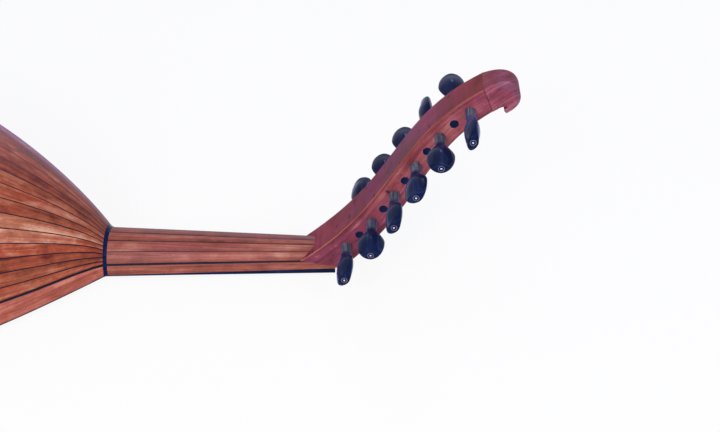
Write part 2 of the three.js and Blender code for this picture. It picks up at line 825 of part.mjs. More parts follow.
function cheek(hand) {
  const seam = pegboxBackThickness + glueGap;
  const plate = pegboxLoft([
    { side: -1, inset: 0, hand, from: 0 },
    { side: 1, inset: seam, hand, from: 0 },
    { side: 1, inset: seam, hand, from: cheekThickness },
    { side: -1, inset: 0, hand, from: cheekThickness },
  ], pegboxEndShare).subtract(belowLedge());
  return geometryOf(pegHoles().reduce((solid, hole) => solid.subtract(hole), plate));
}

// Back plate with bevelled edges, in one piece with the block that fills the root behind the nut
function pegboxBack() {
  const plate = pegboxLoft([
    { side: 1, inset: pegboxBackThickness, hand: -1, from: 0 },
    { side: 1, inset: backEdgeBevel, hand: -1, from: 0 },
    { side: 1, inset: 0, hand: -1, from: backEdgeBevel },
    { side: 1, inset: 0, hand: 1, from: backEdgeBevel },
    { side: 1, inset: backEdgeBevel, hand: 1, from: 0 },
    { side: 1, inset: pegboxBackThickness, hand: 1, from: 0 },
  ], pegboxEndShare);
  const wallGap = cheekThickness + glueGap;
  const filling = pegboxLoft([
    { side: -1, inset: 0, hand: -1, from: wallGap },
    { side: 1, inset: pegboxBackThickness / 2, hand: -1, from: wallGap },
    { side: 1, inset: pegboxBackThickness / 2, hand: 1, from: wallGap },
    { side: -1, inset: 0, hand: 1, from: wallGap },
  ], shareAtLength(rootBlockLength));
  const root = boxSolid(vec3(-farOut, -farOut, -farOut), vec3(nutRear, farOut, farOut));
  return geometryOf(plate.add(filling.intersect(root)).subtract(belowLedge()));
}

// Outline of the finial in the side view, with the bevel that each of its points gets
function finialOutline() {
  const tangent = pegLine.getTangent(1);
  const tilt = tangent.angle();
  const towards = (turn, length) => heading(tilt + turn).multiplyScalar(length);
  const inFront = (along, below) => pegLineEnd.clone().add(towards(0, along)).add(towards(-PI / 2, below));
  const backStart = besidePegLine(1, 1, 0);
  const nose = inFront(noseAlong, noseInFront);
  const lip = inFront(lipAlong, lipInFront);
  const scroll = new THREE.CurvePath();
  scroll.add(new THREE.CubicBezierCurve(
    backStart,
    backStart.clone().add(towards(0, scrollReach)),
    nose.clone().sub(towards(noseTurn, noseReachBefore)),
    nose,
  ));
  scroll.add(new THREE.CubicBezierCurve(
    nose,
    nose.clone().add(towards(noseTurn, noseReachAfter)),
    lip.clone().add(towards(lipTurn, lipReach)),
    lip,
  ));
  const back = Array.from({ length: scrollSteps + 1 }, (_, i) => {
    const share = i / scrollSteps;
    const swell = sin(PI * share) * (1 - share / 3);
    return {
      point: scroll.getPoint(share),
      bevel: lerp(backEdgeBevel, scrollBevel, swell) - share * edgeBevel,
    };
  });
  const front = [
    inFront(lipAlong - edgeBevel, lipInFront - lipWidth / 2),
    inFront(lipAlong, lipInFront - lipWidth),
    inFront(lipAlong + notchDepth, lipInFront - lipWidth - notchWidth / 4),
    inFront(lipAlong + notchWidth / 2, lipInFront - lipWidth - notchWidth),
    inFront(lipAlong - notchWidth, pegboxHalfDepthAtEnd + edgeBevel / 2),
    besidePegLine(frontEndShare, -1, 0),
  ];
  return [...back, ...front.map((point) => ({ point, bevel: edgeBevel }))].reverse();
}

// Finial: its side faces are drawn in by the bevels
function finial() {
  const outline = finialOutline();
  const points = outline.map(({ point }) => point);
  const insetPoints = outline.map(({ point, bevel }, i) => {
    const before = points[(i + points.length - 1) % points.length];
    const after = points[(i + 1) % points.length];
    const along = after.clone().sub(before).normalize();
    return point.clone().addScaledVector(vec2(-along.y, along.x), bevel);
  });
  const ring = (hand, flat) => outline.map(({ point, bevel }, i) => {
    const place = flat ? insetPoints[i] : point;
    return vec3(place.x, hand * (pegboxHalfWidth(place.x) - (flat ? 0 : bevel)), place.y);
  });
  const caps = THREE.ShapeUtils.triangulateShape(insetPoints, []);
  return loft([ring(-1, true), ring(-1, false), ring(1, false), ring(1, true)], caps);
}

// Pegs

// Share of the peg line at a length from its root
function shareAtLength(length) {
  return pegLine.getUtoTmapping(length / pegLine.getLength());
}

const pegOrder = Array.from({ length: bassPegCount + treblePegCount }, (_, i) => i);
const pegs = pegOrder.map((order) => {
  const isBass = order % 2 === 0;
  const number = Math.floor(order / 2);
  return {
    centre: pegLine.getPoint(shareAtLength(firstPegFromRoot + order * pegPitch)),
    side: isBass ? -1 : 1,
    turn: isBass ? bassPegTurns[number] : treblePegTurns[number],
    name: `peg_${isBass ? 'bass' : 'treble'}_${number + 1}`,
  };
});

// Radius of a peg's shaft at a place across the pegbox; the head is on the peg's own side
function pegRadiusAt(side, y) {
  const share = 0.5 - side * y / (2 * pegboxHalfWidthAtNut);
  return lerp(pegRadiusAtHead, pegRadiusAtFoot, share);
}

// Half width of the head, from its neck to its tip: a hollow flare, then a rounded end
function headHalfWidth(share) {
  if (share < 0.5) return lerp(pegRadiusAtHead, pegHeadHalfWidth, sin(PI * share) ** pegFlarePower);
  return lerp(pegTipHalfWidth, pegHeadHalfWidth, sqrt(max(1 - (2 * share - 1) ** 2, 0)));
}

// Peg drawn along y with its head on the given side, to be set at its centre on the peg line
function pegSolid({ side, centre }) {
  const outer = pegboxHalfWidth(centre.x);
  const ring = (y, halfWidth, halfThickness, power) => Array.from({ length: pegSides }, (_, i) => {
    const angle = 2 * PI * i / pegSides;
    const curve = (value) => sign(value) * abs(value) ** (2 / power);
    return vec3(halfWidth * curve(cos(angle)), side * y, halfThickness * curve(sin(angle)));
  });
  const shaft = [-outer - pegFootProud, outer, outer + pegCollarLength].map((y) => {
    const radius = pegRadiusAt(side, side * min(y, outer));
    return ring(y, radius, radius, 2);
  });
  const headShares = [0.12, 0.25, 0.37, 0.5, 0.65, 0.8, 0.92, 1];
  const head = headShares.map((share) => {
    const swell = sin(PI * share);
    return ring(
      outer + lerp(pegCollarLength, pegReach - pegTipRounding, share),
      headHalfWidth(share),
      lerp(lerp(pegRadiusAtHead, pegTipHalfThickness, share), pegHeadHalfThickness, swell),
      lerp(2, pegLensPower, swell),
    );
  });
  const tip = ring(
    outer + pegReach,
    pegTipHalfWidth - pegTipRounding,
    pegTipHalfThickness - pegTipRounding,
    2,
  );
  return loft([...shaft, ...head, tip]);
}

// Assembly

const instrument = new THREE.Group();

function place(name, geometry, material) {
  const mesh = new THREE.Mesh(geometry, material);
  mesh.name = name;
  instrument.add(mesh);
  return mesh;
}

place('rib_bass_band', sideBand(false), finishes.sideBand);
for (let i = 0; i < middleRibCount; i++) {
  const name = `rib_${String(i + 1).padStart(2, '0')}`;
  place(name, middleRib(i), i % 2 === 0 ? finishes.darkRib : finishes.lightRib);
}
place('rib_treble_band', sideBand(true), finishes.sideBand);
place('tail_block', tailBlock(), finishes.block);
place('neck_block', neckBlock(), finishes.block);
place('neck_joint_ring', jointRing(), finishes.ebony);
place('neck', neck(), finishes.neck);
place('fingerboard', fingerboard(), finishes.ebony);
place('nut', nut(), finishes.bone);
place('soundboard', soundboard(), finishes.spruce);
soundHoles().forEach((hole) => {
  const rings = hole.name === 'main' ? rosetteRings : smallRosetteRings;
  place(`rosette_${hole.name}`, rosette(hole, rings), finishes.rosette);
});
place('bridge', bridge(), finishes.bridge);
place('pegbox_cheek_bass', cheek(-1), finishes.pegbox);
place('pegbox_cheek_treble', cheek(1), finishes.pegbox);
place('pegbox_back', pegboxBack(), finishes.pegboxBack);
place('pegbox_finial', finial(), finishes.pegbox);

pegs.forEach((peg) => {
  const mesh = place(peg.name, pegSolid(peg), finishes.ebony);
  mesh.position.set(peg.centre.x, 0, peg.centre.y);
  mesh.rotation.y = peg.turn;
});

// Bass strings go to the bass pegs and treble strings to the treble pegs, the outer ones to the nearest peg
strings.forEach((string, number) => {
  const peg = number < bassPegCount
    ? pegs.filter(({ side }) => side < 0)[number]
    : pegs.filter(({ side }) => side > 0)[strings.length - 1 - number];
  const material = number < bassPegCount ? finishes.woundString : finishes.nylon;
  place(`string_${String(number + 1).padStart(2, '0')}`, stringSolid(string, peg), material);
});

// The instrument lies face down: bridge crown and nut crown in one level plane, centred over the origin
instrument.rotation.y = atan2(restSlope, 1);
const oud = new THREE.Group();
oud.add(instrument);
const bounds = new THREE.Box3().setFromObject(oud, true);
const middle = bounds.getCenter(vec3(0, 0, 0));
instrument.position.set(-middle.x, -middle.y, -bounds.min.z);

export default oud;
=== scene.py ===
"""Oud lying face down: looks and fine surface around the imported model. Metres, in the frame of the model."""

from math import acos, asin, atan2, copysign, cos, degrees, exp, hypot, pi, radians, sin, sqrt

import bmesh
import bpy
import numpy as np
from mathutils import Matrix, Vector
from mathutils.geometry import tessellate_polygon


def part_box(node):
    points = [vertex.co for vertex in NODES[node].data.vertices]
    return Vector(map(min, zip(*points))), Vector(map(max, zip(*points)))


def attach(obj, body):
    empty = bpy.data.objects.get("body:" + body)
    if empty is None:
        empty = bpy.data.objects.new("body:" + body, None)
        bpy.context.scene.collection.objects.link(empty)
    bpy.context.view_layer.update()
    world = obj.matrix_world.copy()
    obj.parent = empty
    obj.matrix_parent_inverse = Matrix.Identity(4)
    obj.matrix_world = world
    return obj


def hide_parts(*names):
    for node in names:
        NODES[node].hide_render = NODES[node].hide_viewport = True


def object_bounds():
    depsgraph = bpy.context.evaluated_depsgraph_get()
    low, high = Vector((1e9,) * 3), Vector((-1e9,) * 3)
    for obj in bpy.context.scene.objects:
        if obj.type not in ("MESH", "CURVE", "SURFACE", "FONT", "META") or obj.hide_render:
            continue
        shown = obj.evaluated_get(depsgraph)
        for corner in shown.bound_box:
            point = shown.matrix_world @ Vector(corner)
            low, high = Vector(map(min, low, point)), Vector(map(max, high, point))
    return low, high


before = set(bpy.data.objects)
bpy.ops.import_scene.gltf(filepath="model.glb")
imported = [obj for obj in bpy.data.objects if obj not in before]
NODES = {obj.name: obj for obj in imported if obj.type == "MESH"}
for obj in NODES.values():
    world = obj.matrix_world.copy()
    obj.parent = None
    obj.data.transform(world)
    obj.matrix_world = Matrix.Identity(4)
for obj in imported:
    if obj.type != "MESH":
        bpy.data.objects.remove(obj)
CAD_BOUNDS = [list(corner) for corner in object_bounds()]

# Sizes of the instrument, in millimetres, as the model has them
BOWL_LENGTH = 490
WIDEST_FROM_NECK = 310
WIDEST_HALF_WIDTH = 182
BOWL_DEPTH = 188
THROAT_HALF_WIDTH = 26.5
THROAT_DEPTH = 28.8
PLAN_FLARE = (radians(45), 134.4, 140.4)
BACK_FLARE = (radians(57.9), 86.9, 105.2)
RIB_THICKNESS = 2.8
RIB_COUNT = 20
RIB_NARROWING_SHARE = 0.012
BAND_ANGLE = radians(11.5)
BAND_THROAT_ANGLE = radians(22)
BAND_SETTLE = 30
NECK_LENGTH = 200
NUT_HALF_WIDTH = 17.8
NECK_DEPTH_AT_NUT = 21.5
NECK_SQUARENESS = 2.3
RING_HALF_WIDTH = 1.6
BOARD_AT_JOINT = 1
BOARD_AT_NUT = 4.6
NUT_THICKNESS = 3.2
NUT_HEIGHT = 1.9
GAP = 0.3
TRIM_GAP = 0.02
CLOSE_GAP = 0.05
INLAY_PROUD = 0.05
SOUNDBOARD = 2
SCALE_LENGTH = 600
BRIDGE_DEPTH = 13
BRIDGE_HEIGHT = 9.8
PEGBOX_HALF_DEPTH = (14.5, 10.6)
PEGBOX_HALF_WIDTH = (18.7, 14.7)
END_LEAN = 3.8
PEGBOX_END_SHARE = 0.9995
ROOT_NARROWING = 2.2
ROOT_BLEND = 42
CHEEK = 4.5
BACK_PLATE = 3
BACK_BEVEL = 0.75
LEDGE_START = (28.5, 12)
LEDGE_END = 7.4
PEG_COUNT = 11
WOUND_STRINGS = 6
PEG_PITCH = 16.7
FIRST_PEG = 57
PEG_RADIUS = (4.35, 3.4)
PEG_COLLAR = 15.3
PEG_REACH = 48
PEG_HEAD_HALF_WIDTH = 11.4
PEG_HEAD_HALF_THICKNESS = 6.4
PEG_TIP_HALF_WIDTH = 5.8
PEG_TIP_HALF_THICKNESS = 4.4
PEG_LENS_POWER = 1.45
PEG_FLARE_POWER = 1.0
PEG_WAIST_POWER = 1.9
BASS_TURNS = (-58, -5, -60, -40, -5, -80)
TREBLE_TURNS = (-35, 0, -5, -80, -5)
HOLES = {"main": (-165, 0, 50), "bass": (-286, -72, 21), "treble": (-286, 72, 21)}
BRACE_WIDTH = 5
BRACE_HEIGHT = 13
BRACE_END_HEIGHT = 5
BRACE_PLACES = (61.2, 105.5, 224.5, 255.5, 316.5, 365.1, 441.4)
BRACE_GAP_SIDEWAYS = 1.5
BRACE_GAP_ABOVE = 1
BINDING_WIDTH = 1.7
BINDING_EDGE = 0.35
BINDING_LINE = 1.2
BINDING_DROP = 0.03
TAIL_CAP_DEPTH = 1.9

# Width and material of each ring round the main hole, from the inside out; the small holes have the first three
HOLE_RINGS = ((0.8, 0), (0.8, 1), (0.7, 0), (2.6, 2), (0.7, 0), (0.8, 1), (0.8, 0))
SMALL_HOLE_RINGS = 3

NUT_REAR = NECK_LENGTH + GAP + NUT_THICKNESS
NUT_MIDDLE = NECK_LENGTH + GAP + NUT_THICKNESS / 2
BRIDGE_MIDDLE = NECK_LENGTH - SCALE_LENGTH - BRIDGE_DEPTH / 2

# The instrument's own frame is tilted until bridge and nut stand level, and moved to the model's origin
MM = 0.001
TILT = atan2(BRIDGE_HEIGHT - NUT_HEIGHT, NUT_MIDDLE - BRIDGE_MIDDLE)
board_low, board_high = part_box("soundboard")
TO_FRAME = (
    Matrix.Translation((board_high.x - SOUNDBOARD * MM * sin(TILT), 0, board_low.z))
    @ Matrix.Rotation(TILT, 4, "Y")
    @ Matrix.Scale(MM, 4)
)

# Camera fitted to the photograph, in the instrument's own frame
CAMERA_PLACE = (251.8156, -880.7105, 653.8746)
CAMERA_RIGHT = (0.99955824, 0.0286957, -0.00773795)
CAMERA_UP = (-0.00987617, 0.56625849, 0.82416854)
CAMERA_BACK = (0.02803178, -0.82372804, 0.56629174)
FOCAL_PIXELS = 1235.68
IMAGE_WIDTH = 720
SENSOR = 36


def lerp(a, b, share):
    return a + (b - a) * share


def spaced(low, high, steps):
    """Values from low to high in even steps."""
    return [lerp(low, high, i / steps) for i in range(steps + 1)]


def clamp(value, low=0.0, high=1.0):
    return max(low, min(high, value))


def linear(code):
    """Linear colour of a hex code as it looks on screen."""
    channels = [int(code[i:i + 2], 16) / 255 for i in (0, 2, 4)]
    return tuple(c / 12.92 if c <= 0.04045 else ((c + 0.055) / 1.055) ** 2.4 for c in channels) + (1.0,)


def circle_steps(sides):
    """Cosine and sine of each step round a circle."""
    return [(cos(2 * pi * i / sides), sin(2 * pi * i / sides)) for i in range(sides)]


# Materials


class Shader:
    """The nodes of a material or a world, with short ways to add and link them; a colour can be a hex code."""

    def __init__(self, owner):
        owner.use_nodes = True
        self.owner = owner
        self.nodes = owner.node_tree.nodes
        self.links = owner.node_tree.links

    def add(self, kind, inputs=None, **settings):
        node = self.nodes.new("ShaderNode" + kind)
        for key, value in settings.items():
            setattr(node, key, value)
        for key, value in (inputs or {}).items():
            self.put(node.inputs[key], value)
        return node

    def put(self, socket, value):
        if isinstance(value, bpy.types.NodeSocket):
            self.links.new(value, socket)
        else:
            socket.default_value = linear(value) if isinstance(value, str) else value

    def set(self, **values):
        """Sets inputs of the surface and gives back the material."""
        for key, value in values.items():
            self.put(self.nodes["Principled BSDF"].inputs[key.replace("_", " ")], value)
        return self.owner

    def grain(self):
        return self.add("Attribute", attribute_name="grain").outputs["Vector"]

    def place(self):
        return self.add("TexCoord").outputs["Object"]

    def noise(self, vector, scale, detail=3, rough=0.55, warp=0.0):
        """Noise over a vector that is first stretched along its axes."""
        stretched = self.add("Mapping", {"Vector": vector, "Scale": scale}).outputs[0]
        settings = {"Vector": stretched, "Scale": 1.0, "Detail": detail, "Roughness": rough, "Distortion": warp}
        return self.add("TexNoise", settings).outputs["Fac"]

    def ramp(self, value, *stops):
        node = self.add("ValToRGB", {"Fac": value})
        points = node.color_ramp.elements
        while len(points) < len(stops):
            points.new(0.5)
        for point, (place, color) in zip(points, stops):
            point.position = place
            point.color = linear(color)
        return node.outputs["Color"]

    def between(self, value, low, high, to_low=0.0, to_high=1.0):
        settings = {"Value": value, "From Min": low, "From Max": high, "To Min": to_low, "To Max": to_high}
        return self.add("MapRange", settings).outputs["Result"]

    def mix(self, share, a, b, blend="MIX"):
        node = self.add("Mix", data_type="RGBA", blend_type=blend)
        self.put(node.inputs[0], share)
        self.put(node.inputs[6], a)
        self.put(node.inputs[7], b)
        return node.outputs[2]

    def math(self, operation, a, b=0.0):
        node = self.add("Math", operation=operation)
        self.put(node.inputs[0], a)
        self.put(node.inputs[1], b)
        return node.outputs[0]

    def weighted(self, *terms):
        """Sum of values, each multiplied by its weight."""
        total, *others = [self.math("MULTIPLY", value, weight) for value, weight in terms]
        for other in others:
            total = self.math("ADD", total, other)
        return total

    def ragged(self, value, noise, reach):
        """A value that a noise moves up and down."""
        return self.math("ADD", value, self.math("MULTIPLY", self.math("SUBTRACT", noise, 0.5), reach))

    def seen_directly(self):
        """1 for rays from the camera, a mirror or a glass, 0 for light that is spread."""
        path = self.add("LightPath").outputs
        seen = self.math("MAXIMUM", path["Is Camera Ray"], path["Is Glossy Ray"])
        return self.math("MAXIMUM", seen, path["Is Transmission Ray"])

    def split(self, vector):
        return self.add("SeparateXYZ", {"Vector": vector}).outputs

    def grey(self, value):
        return self.add("CombineXYZ", {0: value, 1: value, 2: value}).outputs[0]

    def bump(self, height, distance, strength):
        return self.add("Bump", {"Height": height, "Distance": distance, "Strength": strength}).outputs["Normal"]


def new_surface(name):
    return Shader(bpy.data.materials.new(name))


def wood(name, dark, middle, light, odd, fibre=1.0, pores=0.5, figure=0.4, rough=(0.42, 0.58), coat=0.05, spread=1.0,
         shine=0.14, sheen=1.0, lines=0.29, knot=None, kept=None, stain=None, painted_light_tint=None):
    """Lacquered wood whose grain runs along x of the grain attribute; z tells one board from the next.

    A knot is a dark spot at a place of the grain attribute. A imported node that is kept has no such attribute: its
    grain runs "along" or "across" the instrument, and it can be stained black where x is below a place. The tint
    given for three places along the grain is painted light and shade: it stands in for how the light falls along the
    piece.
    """
    s = new_surface(name)
    if kept:
        x, y, z = s.split(s.place())
        long, short = (x, y) if kept == "along" else (y, x)
        grain = s.add("CombineXYZ", {0: long, 1: s.math("ADD", short, z)}).outputs[0]
    else:
        grain = s.grain()
    run, _, board = s.split(grain)
    dice = s.add("TexWhiteNoise", {"W": s.math("ROUND", board)}, noise_dimensions="1D").outputs["Value"]
    streaks = s.noise(grain, (7, 150, 9), detail=5, rough=0.62, warp=0.5)
    bands = s.noise(grain, (2.2, 34, 5), detail=3, rough=0.5, warp=0.3)
    clouds = s.noise(grain, (30, 52, 7), detail=4, rough=0.6, warp=0.9)
    mottle = s.noise(grain, (80, 90, 13), detail=4, rough=0.62, warp=0.4)
    hue = s.noise(grain, (9, 22, 17), detail=2, rough=0.5)
    hairs = s.noise(grain, (14, 620, 3), detail=4, rough=0.7)
    dots = s.noise(grain, (150, 1500, 2), detail=2, rough=0.5)
    tone = s.weighted((streaks, 0.5 * fibre), (bands, 0.35), (clouds, figure), (mottle, 0.6 * figure))
    centre = 0.25 * fibre + 0.175 + 0.8 * figure
    reach = 0.11 * fibre + 0.17 * figure
    tone = s.between(tone, centre - reach, centre + reach)
    tone = s.math("ADD", tone, s.add("Attribute", attribute_name="tone").outputs["Fac"])
    tone = s.math("ADD", tone, s.between(dice, 0, 1, -0.14 * spread, 0.14 * spread))
    base = s.ramp(tone, (0.02, dark), (0.48, middle), (0.98, light))
    other = s.ramp(tone, (0.02, dark), (0.75, odd), (1.0, light))
    turn = s.math("ADD", s.between(hue, 0.4, 0.62, 0, 0.6), s.between(dice, 0.2, 0.9, -0.25 * spread, 0.5 * spread))
    base = s.mix(s.between(turn, 0, 1), base, other)
    fine = s.between(hairs, 0.3, 0.7, 0.97 - lines, 0.97 + lines)
    base = s.mix(1.0, base, s.grey(fine), "MULTIPLY")
    pits = s.between(dots, 0.61, 0.69)
    base = s.mix(s.math("MULTIPLY", pits, pores), base, "2a1010")
    if knot:
        away = s.add("VectorMath", {0: grain, 1: knot}, operation="DISTANCE").outputs["Value"]
        away = s.ragged(away, mottle, 0.0025)
        base = s.mix(s.between(away, 0.0021, 0.0009, 0, 0.85), base, "241012")
    # Painted light and shade: a tint that changes along the grain of the piece
    if painted_light_tint:
        (first, low), (second, middle_tint), (third, high) = painted_light_tint
        tint = s.mix(s.between(run, second, third), s.mix(s.between(run, first, second), low, middle_tint), high)
        base = s.mix(1.0, base, tint, "MULTIPLY")
    if stain is not None:
        base = s.mix(s.between(x, stain, stain - 0.0001), base, s.mix(fine, "040610", "10131f"))
    rise = s.weighted((streaks, 0.5), (pits, -0.6))
    return s.set(Base_Color=base, Roughness=s.between(clouds, 0.3, 0.7, *rough), Specular_IOR_Level=shine,
                 Specular_Tint=(0.75, 0.62, 1.0, 1), Coat_Weight=coat, Coat_Roughness=0.3, Sheen_Weight=sheen,
                 Sheen_Roughness=0.2, Sheen_Tint=(0.26, 0.22, 1.0, 1), Normal=s.bump(rise, 0.00012, 0.6))


def spruce(name):
    """Pale softwood with close, straight year lines, mirrored about the joint in the middle of the board."""
    s = new_surface(name)
    x, y, z = s.split(s.grain())
    grain = s.add("CombineXYZ", {0: x, 1: s.math("ABSOLUTE", y), 2: z}).outputs[0]
    bend = s.noise(grain, (3, 9, 5), detail=2)
    bent = s.add("VectorMath", {0: grain, 1: s.add("CombineXYZ", {1: s.math("MULTIPLY", bend, 0.012)}).outputs[0]},
                 operation="ADD").outputs[0]
    years = s.noise(bent, (1.5, 620, 3), detail=2, rough=0.5)
    wide = s.noise(bent, (1.5, 70, 3), detail=2, rough=0.5)
    silk = s.noise(grain, (160, 40, 3), detail=3, rough=0.6)
    tone = s.weighted((years, 0.55), (wide, 0.3), (silk, 0.15))
    base = s.ramp(tone, (0.3, "b98648"), (0.48, "d3a666"), (0.7, "e2be85"))
    return s.set(Base_Color=base, Roughness=s.between(silk, 0.3, 0.7, 0.45, 0.58), Specular_IOR_Level=0.35,
                 Normal=s.bump(years, 0.00005, 0.5))


def ebony(name, worn=False):
    """Near-black hardwood; a worn one is rubbed silvery where it turns in its hole."""
    s = new_surface(name)
    grain = s.grain()
    streaks = s.noise(grain, (12, 420, 5), detail=5, rough=0.65)
    clouds = s.noise(grain, (60, 60, 5), detail=3)
    base = s.ramp(streaks, (0.3, "090f26"), (0.6, "141f42"), (0.85, "38446e"))
    roughness = s.between(clouds, 0.3, 0.7, 0.1, 0.18)
    if worn:
        along = s.split(grain)[0]
        scratches = s.noise(grain, (26, 1300, 5), detail=4, rough=0.7)
        rubbed = s.math("MULTIPLY", s.between(s.ragged(along, scratches, 0.007), 0.0165, 0.0115),
                        s.between(along, -0.003, -0.001))
        grey = s.ramp(scratches, (0.3, "252838"), (0.52, "545867"), (0.74, "9a9ba8"))
        base = s.mix(s.math("MULTIPLY", rubbed, 0.9), base, grey)
        roughness = s.math("ADD", roughness, s.math("MULTIPLY", rubbed, 0.15))
    return s.set(Base_Color=base, Roughness=roughness, Specular_IOR_Level=0.05, Specular_Tint=(0.3, 0.42, 1.0, 1),
                 Sheen_Weight=0.5, Sheen_Roughness=0.25, Sheen_Tint=(0.16, 0.26, 1.0, 1),
                 Normal=s.bump(streaks, 0.00008, 0.35))


def plain(name, dark, light, rough=(0.3, 0.45), scale=(90, 90, 90), shine=0.5):
    """Small plain piece with a fine mottle in the model's own coordinates."""
    s = new_surface(name)
    mottle = s.noise(s.place(), scale, detail=4, rough=0.6)
    return s.set(Base_Color=s.ramp(mottle, (0.3, dark), (0.7, light)),
                 Roughness=s.between(mottle, 0.3, 0.7, *rough), Specular_IOR_Level=shine,
                 Normal=s.bump(mottle, 0.00005, 0.5))


def wound(name):
    """Fine metal winding round a silk core."""
    s = new_surface(name)
    turns = s.add("TexWave", {"Vector": s.place(), "Scale": 900.0, "Distortion": 0.3}, wave_type="BANDS",
                  bands_direction="X").outputs["Fac"]
    return s.set(Base_Color=s.ramp(turns, (0.2, "77736f"), (0.8, "c9c6c2")),
                 Roughness=s.between(turns, 0, 1, 0.5, 0.3), Metallic=0.9, Normal=s.bump(turns, 0.00006, 0.8))


PEGBOX_TOP = {"fibre": 1.2, "pores": 0.6, "coat": 0.0, "lines": 0.14, "shine": 0.08, "sheen": 0.08}
SCROLL_SIDE = {"fibre": 1.2, "pores": 0.8, "coat": 0.0, "lines": 0.14, "shine": 0.16, "sheen": 0.1}
RIB_WOOD = wood("bowl_wood", "541a0e", "9a482f", "cc957e", "a15e40", figure=0.43, spread=0.7)
BAND_WOOD = wood("band_wood", "7c382d", "ab5c4a", "cb8d74", "a4584c", figure=0.45, spread=0.4)
NECK_WOOD = wood("neck_wood", "5a2a20", "8f4d3c", "b98270", "884640", fibre=1.2, figure=0.28,
                 shine=0.2, sheen=0.15)
CHEEK_WOOD = wood("pegbox_wood", "4c1a1c", "8a3f40", "b47068", "7e384c", fibre=1.2, figure=0.26, pores=0.8, coat=0.0,
                  lines=0.16, shine=0.2, sheen=0.1, knot=(0.124, 0.0062, 19))
# Painted light along the back plate: a little darker near the root, a painted blue sheen in the middle and painted
# light towards the finial, where the plate turns up away from the lamps.
BACK_WOOD = wood("pegbox_back_wood", "471216", "812f38", "a45666", "6a2c56", **PEGBOX_TOP, figure=0.35,
                 painted_light_tint=((0.05, (0.94, 0.86, 0.97, 1)), (0.145, (0.98, 1.02, 1.22, 1)), (0.225, (1.45, 1.55, 1.25, 1))))
SCROLL_TOP_WOOD = wood("scroll_top_wood", "431419", "702a36", "9a5258", "622c54", **PEGBOX_TOP)
SCROLL_WOOD = wood("scroll_wood", "4c1c24", "86404c", "b0727a", "7e3a5c", **SCROLL_SIDE)
# Painted sheen: lighter violet wood on the wide bevel round the finial's nose, standing in for a light violet
# reflection
SCROLL_BEVEL_PAINTED_SHEEN = wood("scroll_bevel_painted_sheen", "482029", "7a4455", "a47084", "724060", **SCROLL_SIDE)
EDGE_WOOD = wood("edge_line_wood", "6e3a2c", "98593f", "b27a58", "8f5343", figure=0.3, pores=0.3)
SPRUCE = spruce("soundboard_spruce")
PALE_COLORS = ("a67c4c", "c39b66", "d8b684", "b88e58")
DARK_COLORS = ("1f100d", "3a231a", "5a3a29", "33201a")
BROWN_COLORS = ("3f2212", "6b4021", "8c5c36", "5a331a")
BLOCK_WOOD = wood("neck_block_wood", *PALE_COLORS, pores=0.2, rough=(0.6, 0.75), coat=0.0, kept="along")
TAIL_WOOD = wood("tail_block_wood", *PALE_COLORS, pores=0.2, rough=(0.6, 0.75), coat=0.0, kept="across",
                 stain=CAD_BOUNDS[0][0] + TAIL_CAP_DEPTH * MM)
BRIDGE_WOOD = wood("bridge_wood", *DARK_COLORS, kept="across")
GUARD_WOOD = wood("pickguard_wood", *DARK_COLORS)
ROSETTE_WOOD = wood("rosette_wood", *BROWN_COLORS, pores=0.3, kept="along")
RIM_WOOD = wood("hole_rim_wood", *BROWN_COLORS, pores=0.3)
EBONY = ebony("ebony")
WORN_EBONY = ebony("worn_ebony", worn=True)
INLAY = plain("dark_inlay", "060a1a", "0f142a", shine=0.12)
PEARL = plain("pearl", "95a1c4", "bcc8e6", rough=(0.2, 0.3))
TAN_RING = plain("tan_ring", "5c5358", "7f7678")
BONE = plain("bone", "c9cbd2", "e6e6e6", rough=(0.35, 0.5), scale=(60, 400, 60))
NYLON = plain("nylon", "d9d4c8", "eeeae2", rough=(0.2, 0.3))
WINDING = wound("wound_string")

# Mesh building

# Number of the board that a piece is cut from: it shifts the figure of the wood, and its colour
BOARD = {
    "fingerboard": 3,
    "ring": 7,
    "binding": 9,
    "cheeks": 20,
    "root": 27,
    "scroll": 31,
    "rims": 33,
    "back": 36,
    "bass band": 40,
    "treble band": 41,
    "pickguard": 44,
    "soundboard": 50,
    "lines": 60,
    "braces": 70,
    "neck": 100,
}
CUTTER_HALF_WIDTH = 60


def piece(name, points, faces, materials, slot, grain, body="body", replaces=(), kinds=None, smooth=True, sharp=35,
          tone=0.0):
    """Makes a mesh from points in the instrument's own frame and lets it ride on a body.

    Kinds say which of the materials each face has, and a tone makes the wood lighter or darker.
    """
    mesh = own_mesh(name, points, faces)
    for material in materials if isinstance(materials, list) else [materials]:
        mesh.materials.append(material)
    if kinds is not None:
        mesh.polygons.foreach_set("material_index", kinds)
    set_grain(mesh, grain)
    mesh.attributes.new("tone", "FLOAT", "FACE").data.foreach_set("value", [tone] * len(faces))
    shade(mesh, smooth, sharp)
    obj = add_object(name, mesh)
    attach(obj, body)
    if replaces:
        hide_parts(*replaces)
    return obj


def own_mesh(name, points, faces):
    """Closed mesh of points in the instrument's own frame, with all its faces looking outwards."""
    mesh = bpy.data.meshes.new(name)
    mesh.from_pydata([TO_FRAME @ Vector(p) for p in points], [], [list(f) for f in faces])
    turned = bmesh.new()
    turned.from_mesh(mesh)
    bmesh.ops.recalc_face_normals(turned, faces=turned.faces)
    turned.to_mesh(mesh)
    turned.free()
    return mesh


def add_object(name, data):
    obj = bpy.data.objects.new(name, data)
    bpy.context.scene.collection.objects.link(obj)
    return obj


def set_grain(mesh, grain):
    """Stores where each point lies along and across its board, given in millimetres, and which board it is.

    The values lie on the corners of the faces, so that a cut keeps them.
    """
    layer = mesh.attributes.new("grain", "FLOAT_VECTOR", "CORNER")
    values = np.array([(x * MM, y * MM, z) for x, y, z in grain], dtype=np.float32)
    owners = np.empty(len(mesh.loops), dtype=np.int32)
    mesh.loops.foreach_get("vertex_index", owners)
    layer.data.foreach_set("vector", values[owners].ravel())


def shade(mesh, smooth, sharp):
    mesh.polygons.foreach_set("use_smooth", [smooth] * len(mesh.polygons))
    if smooth:
        mesh.set_sharp_from_angle(angle=radians(sharp))
    mesh.update()


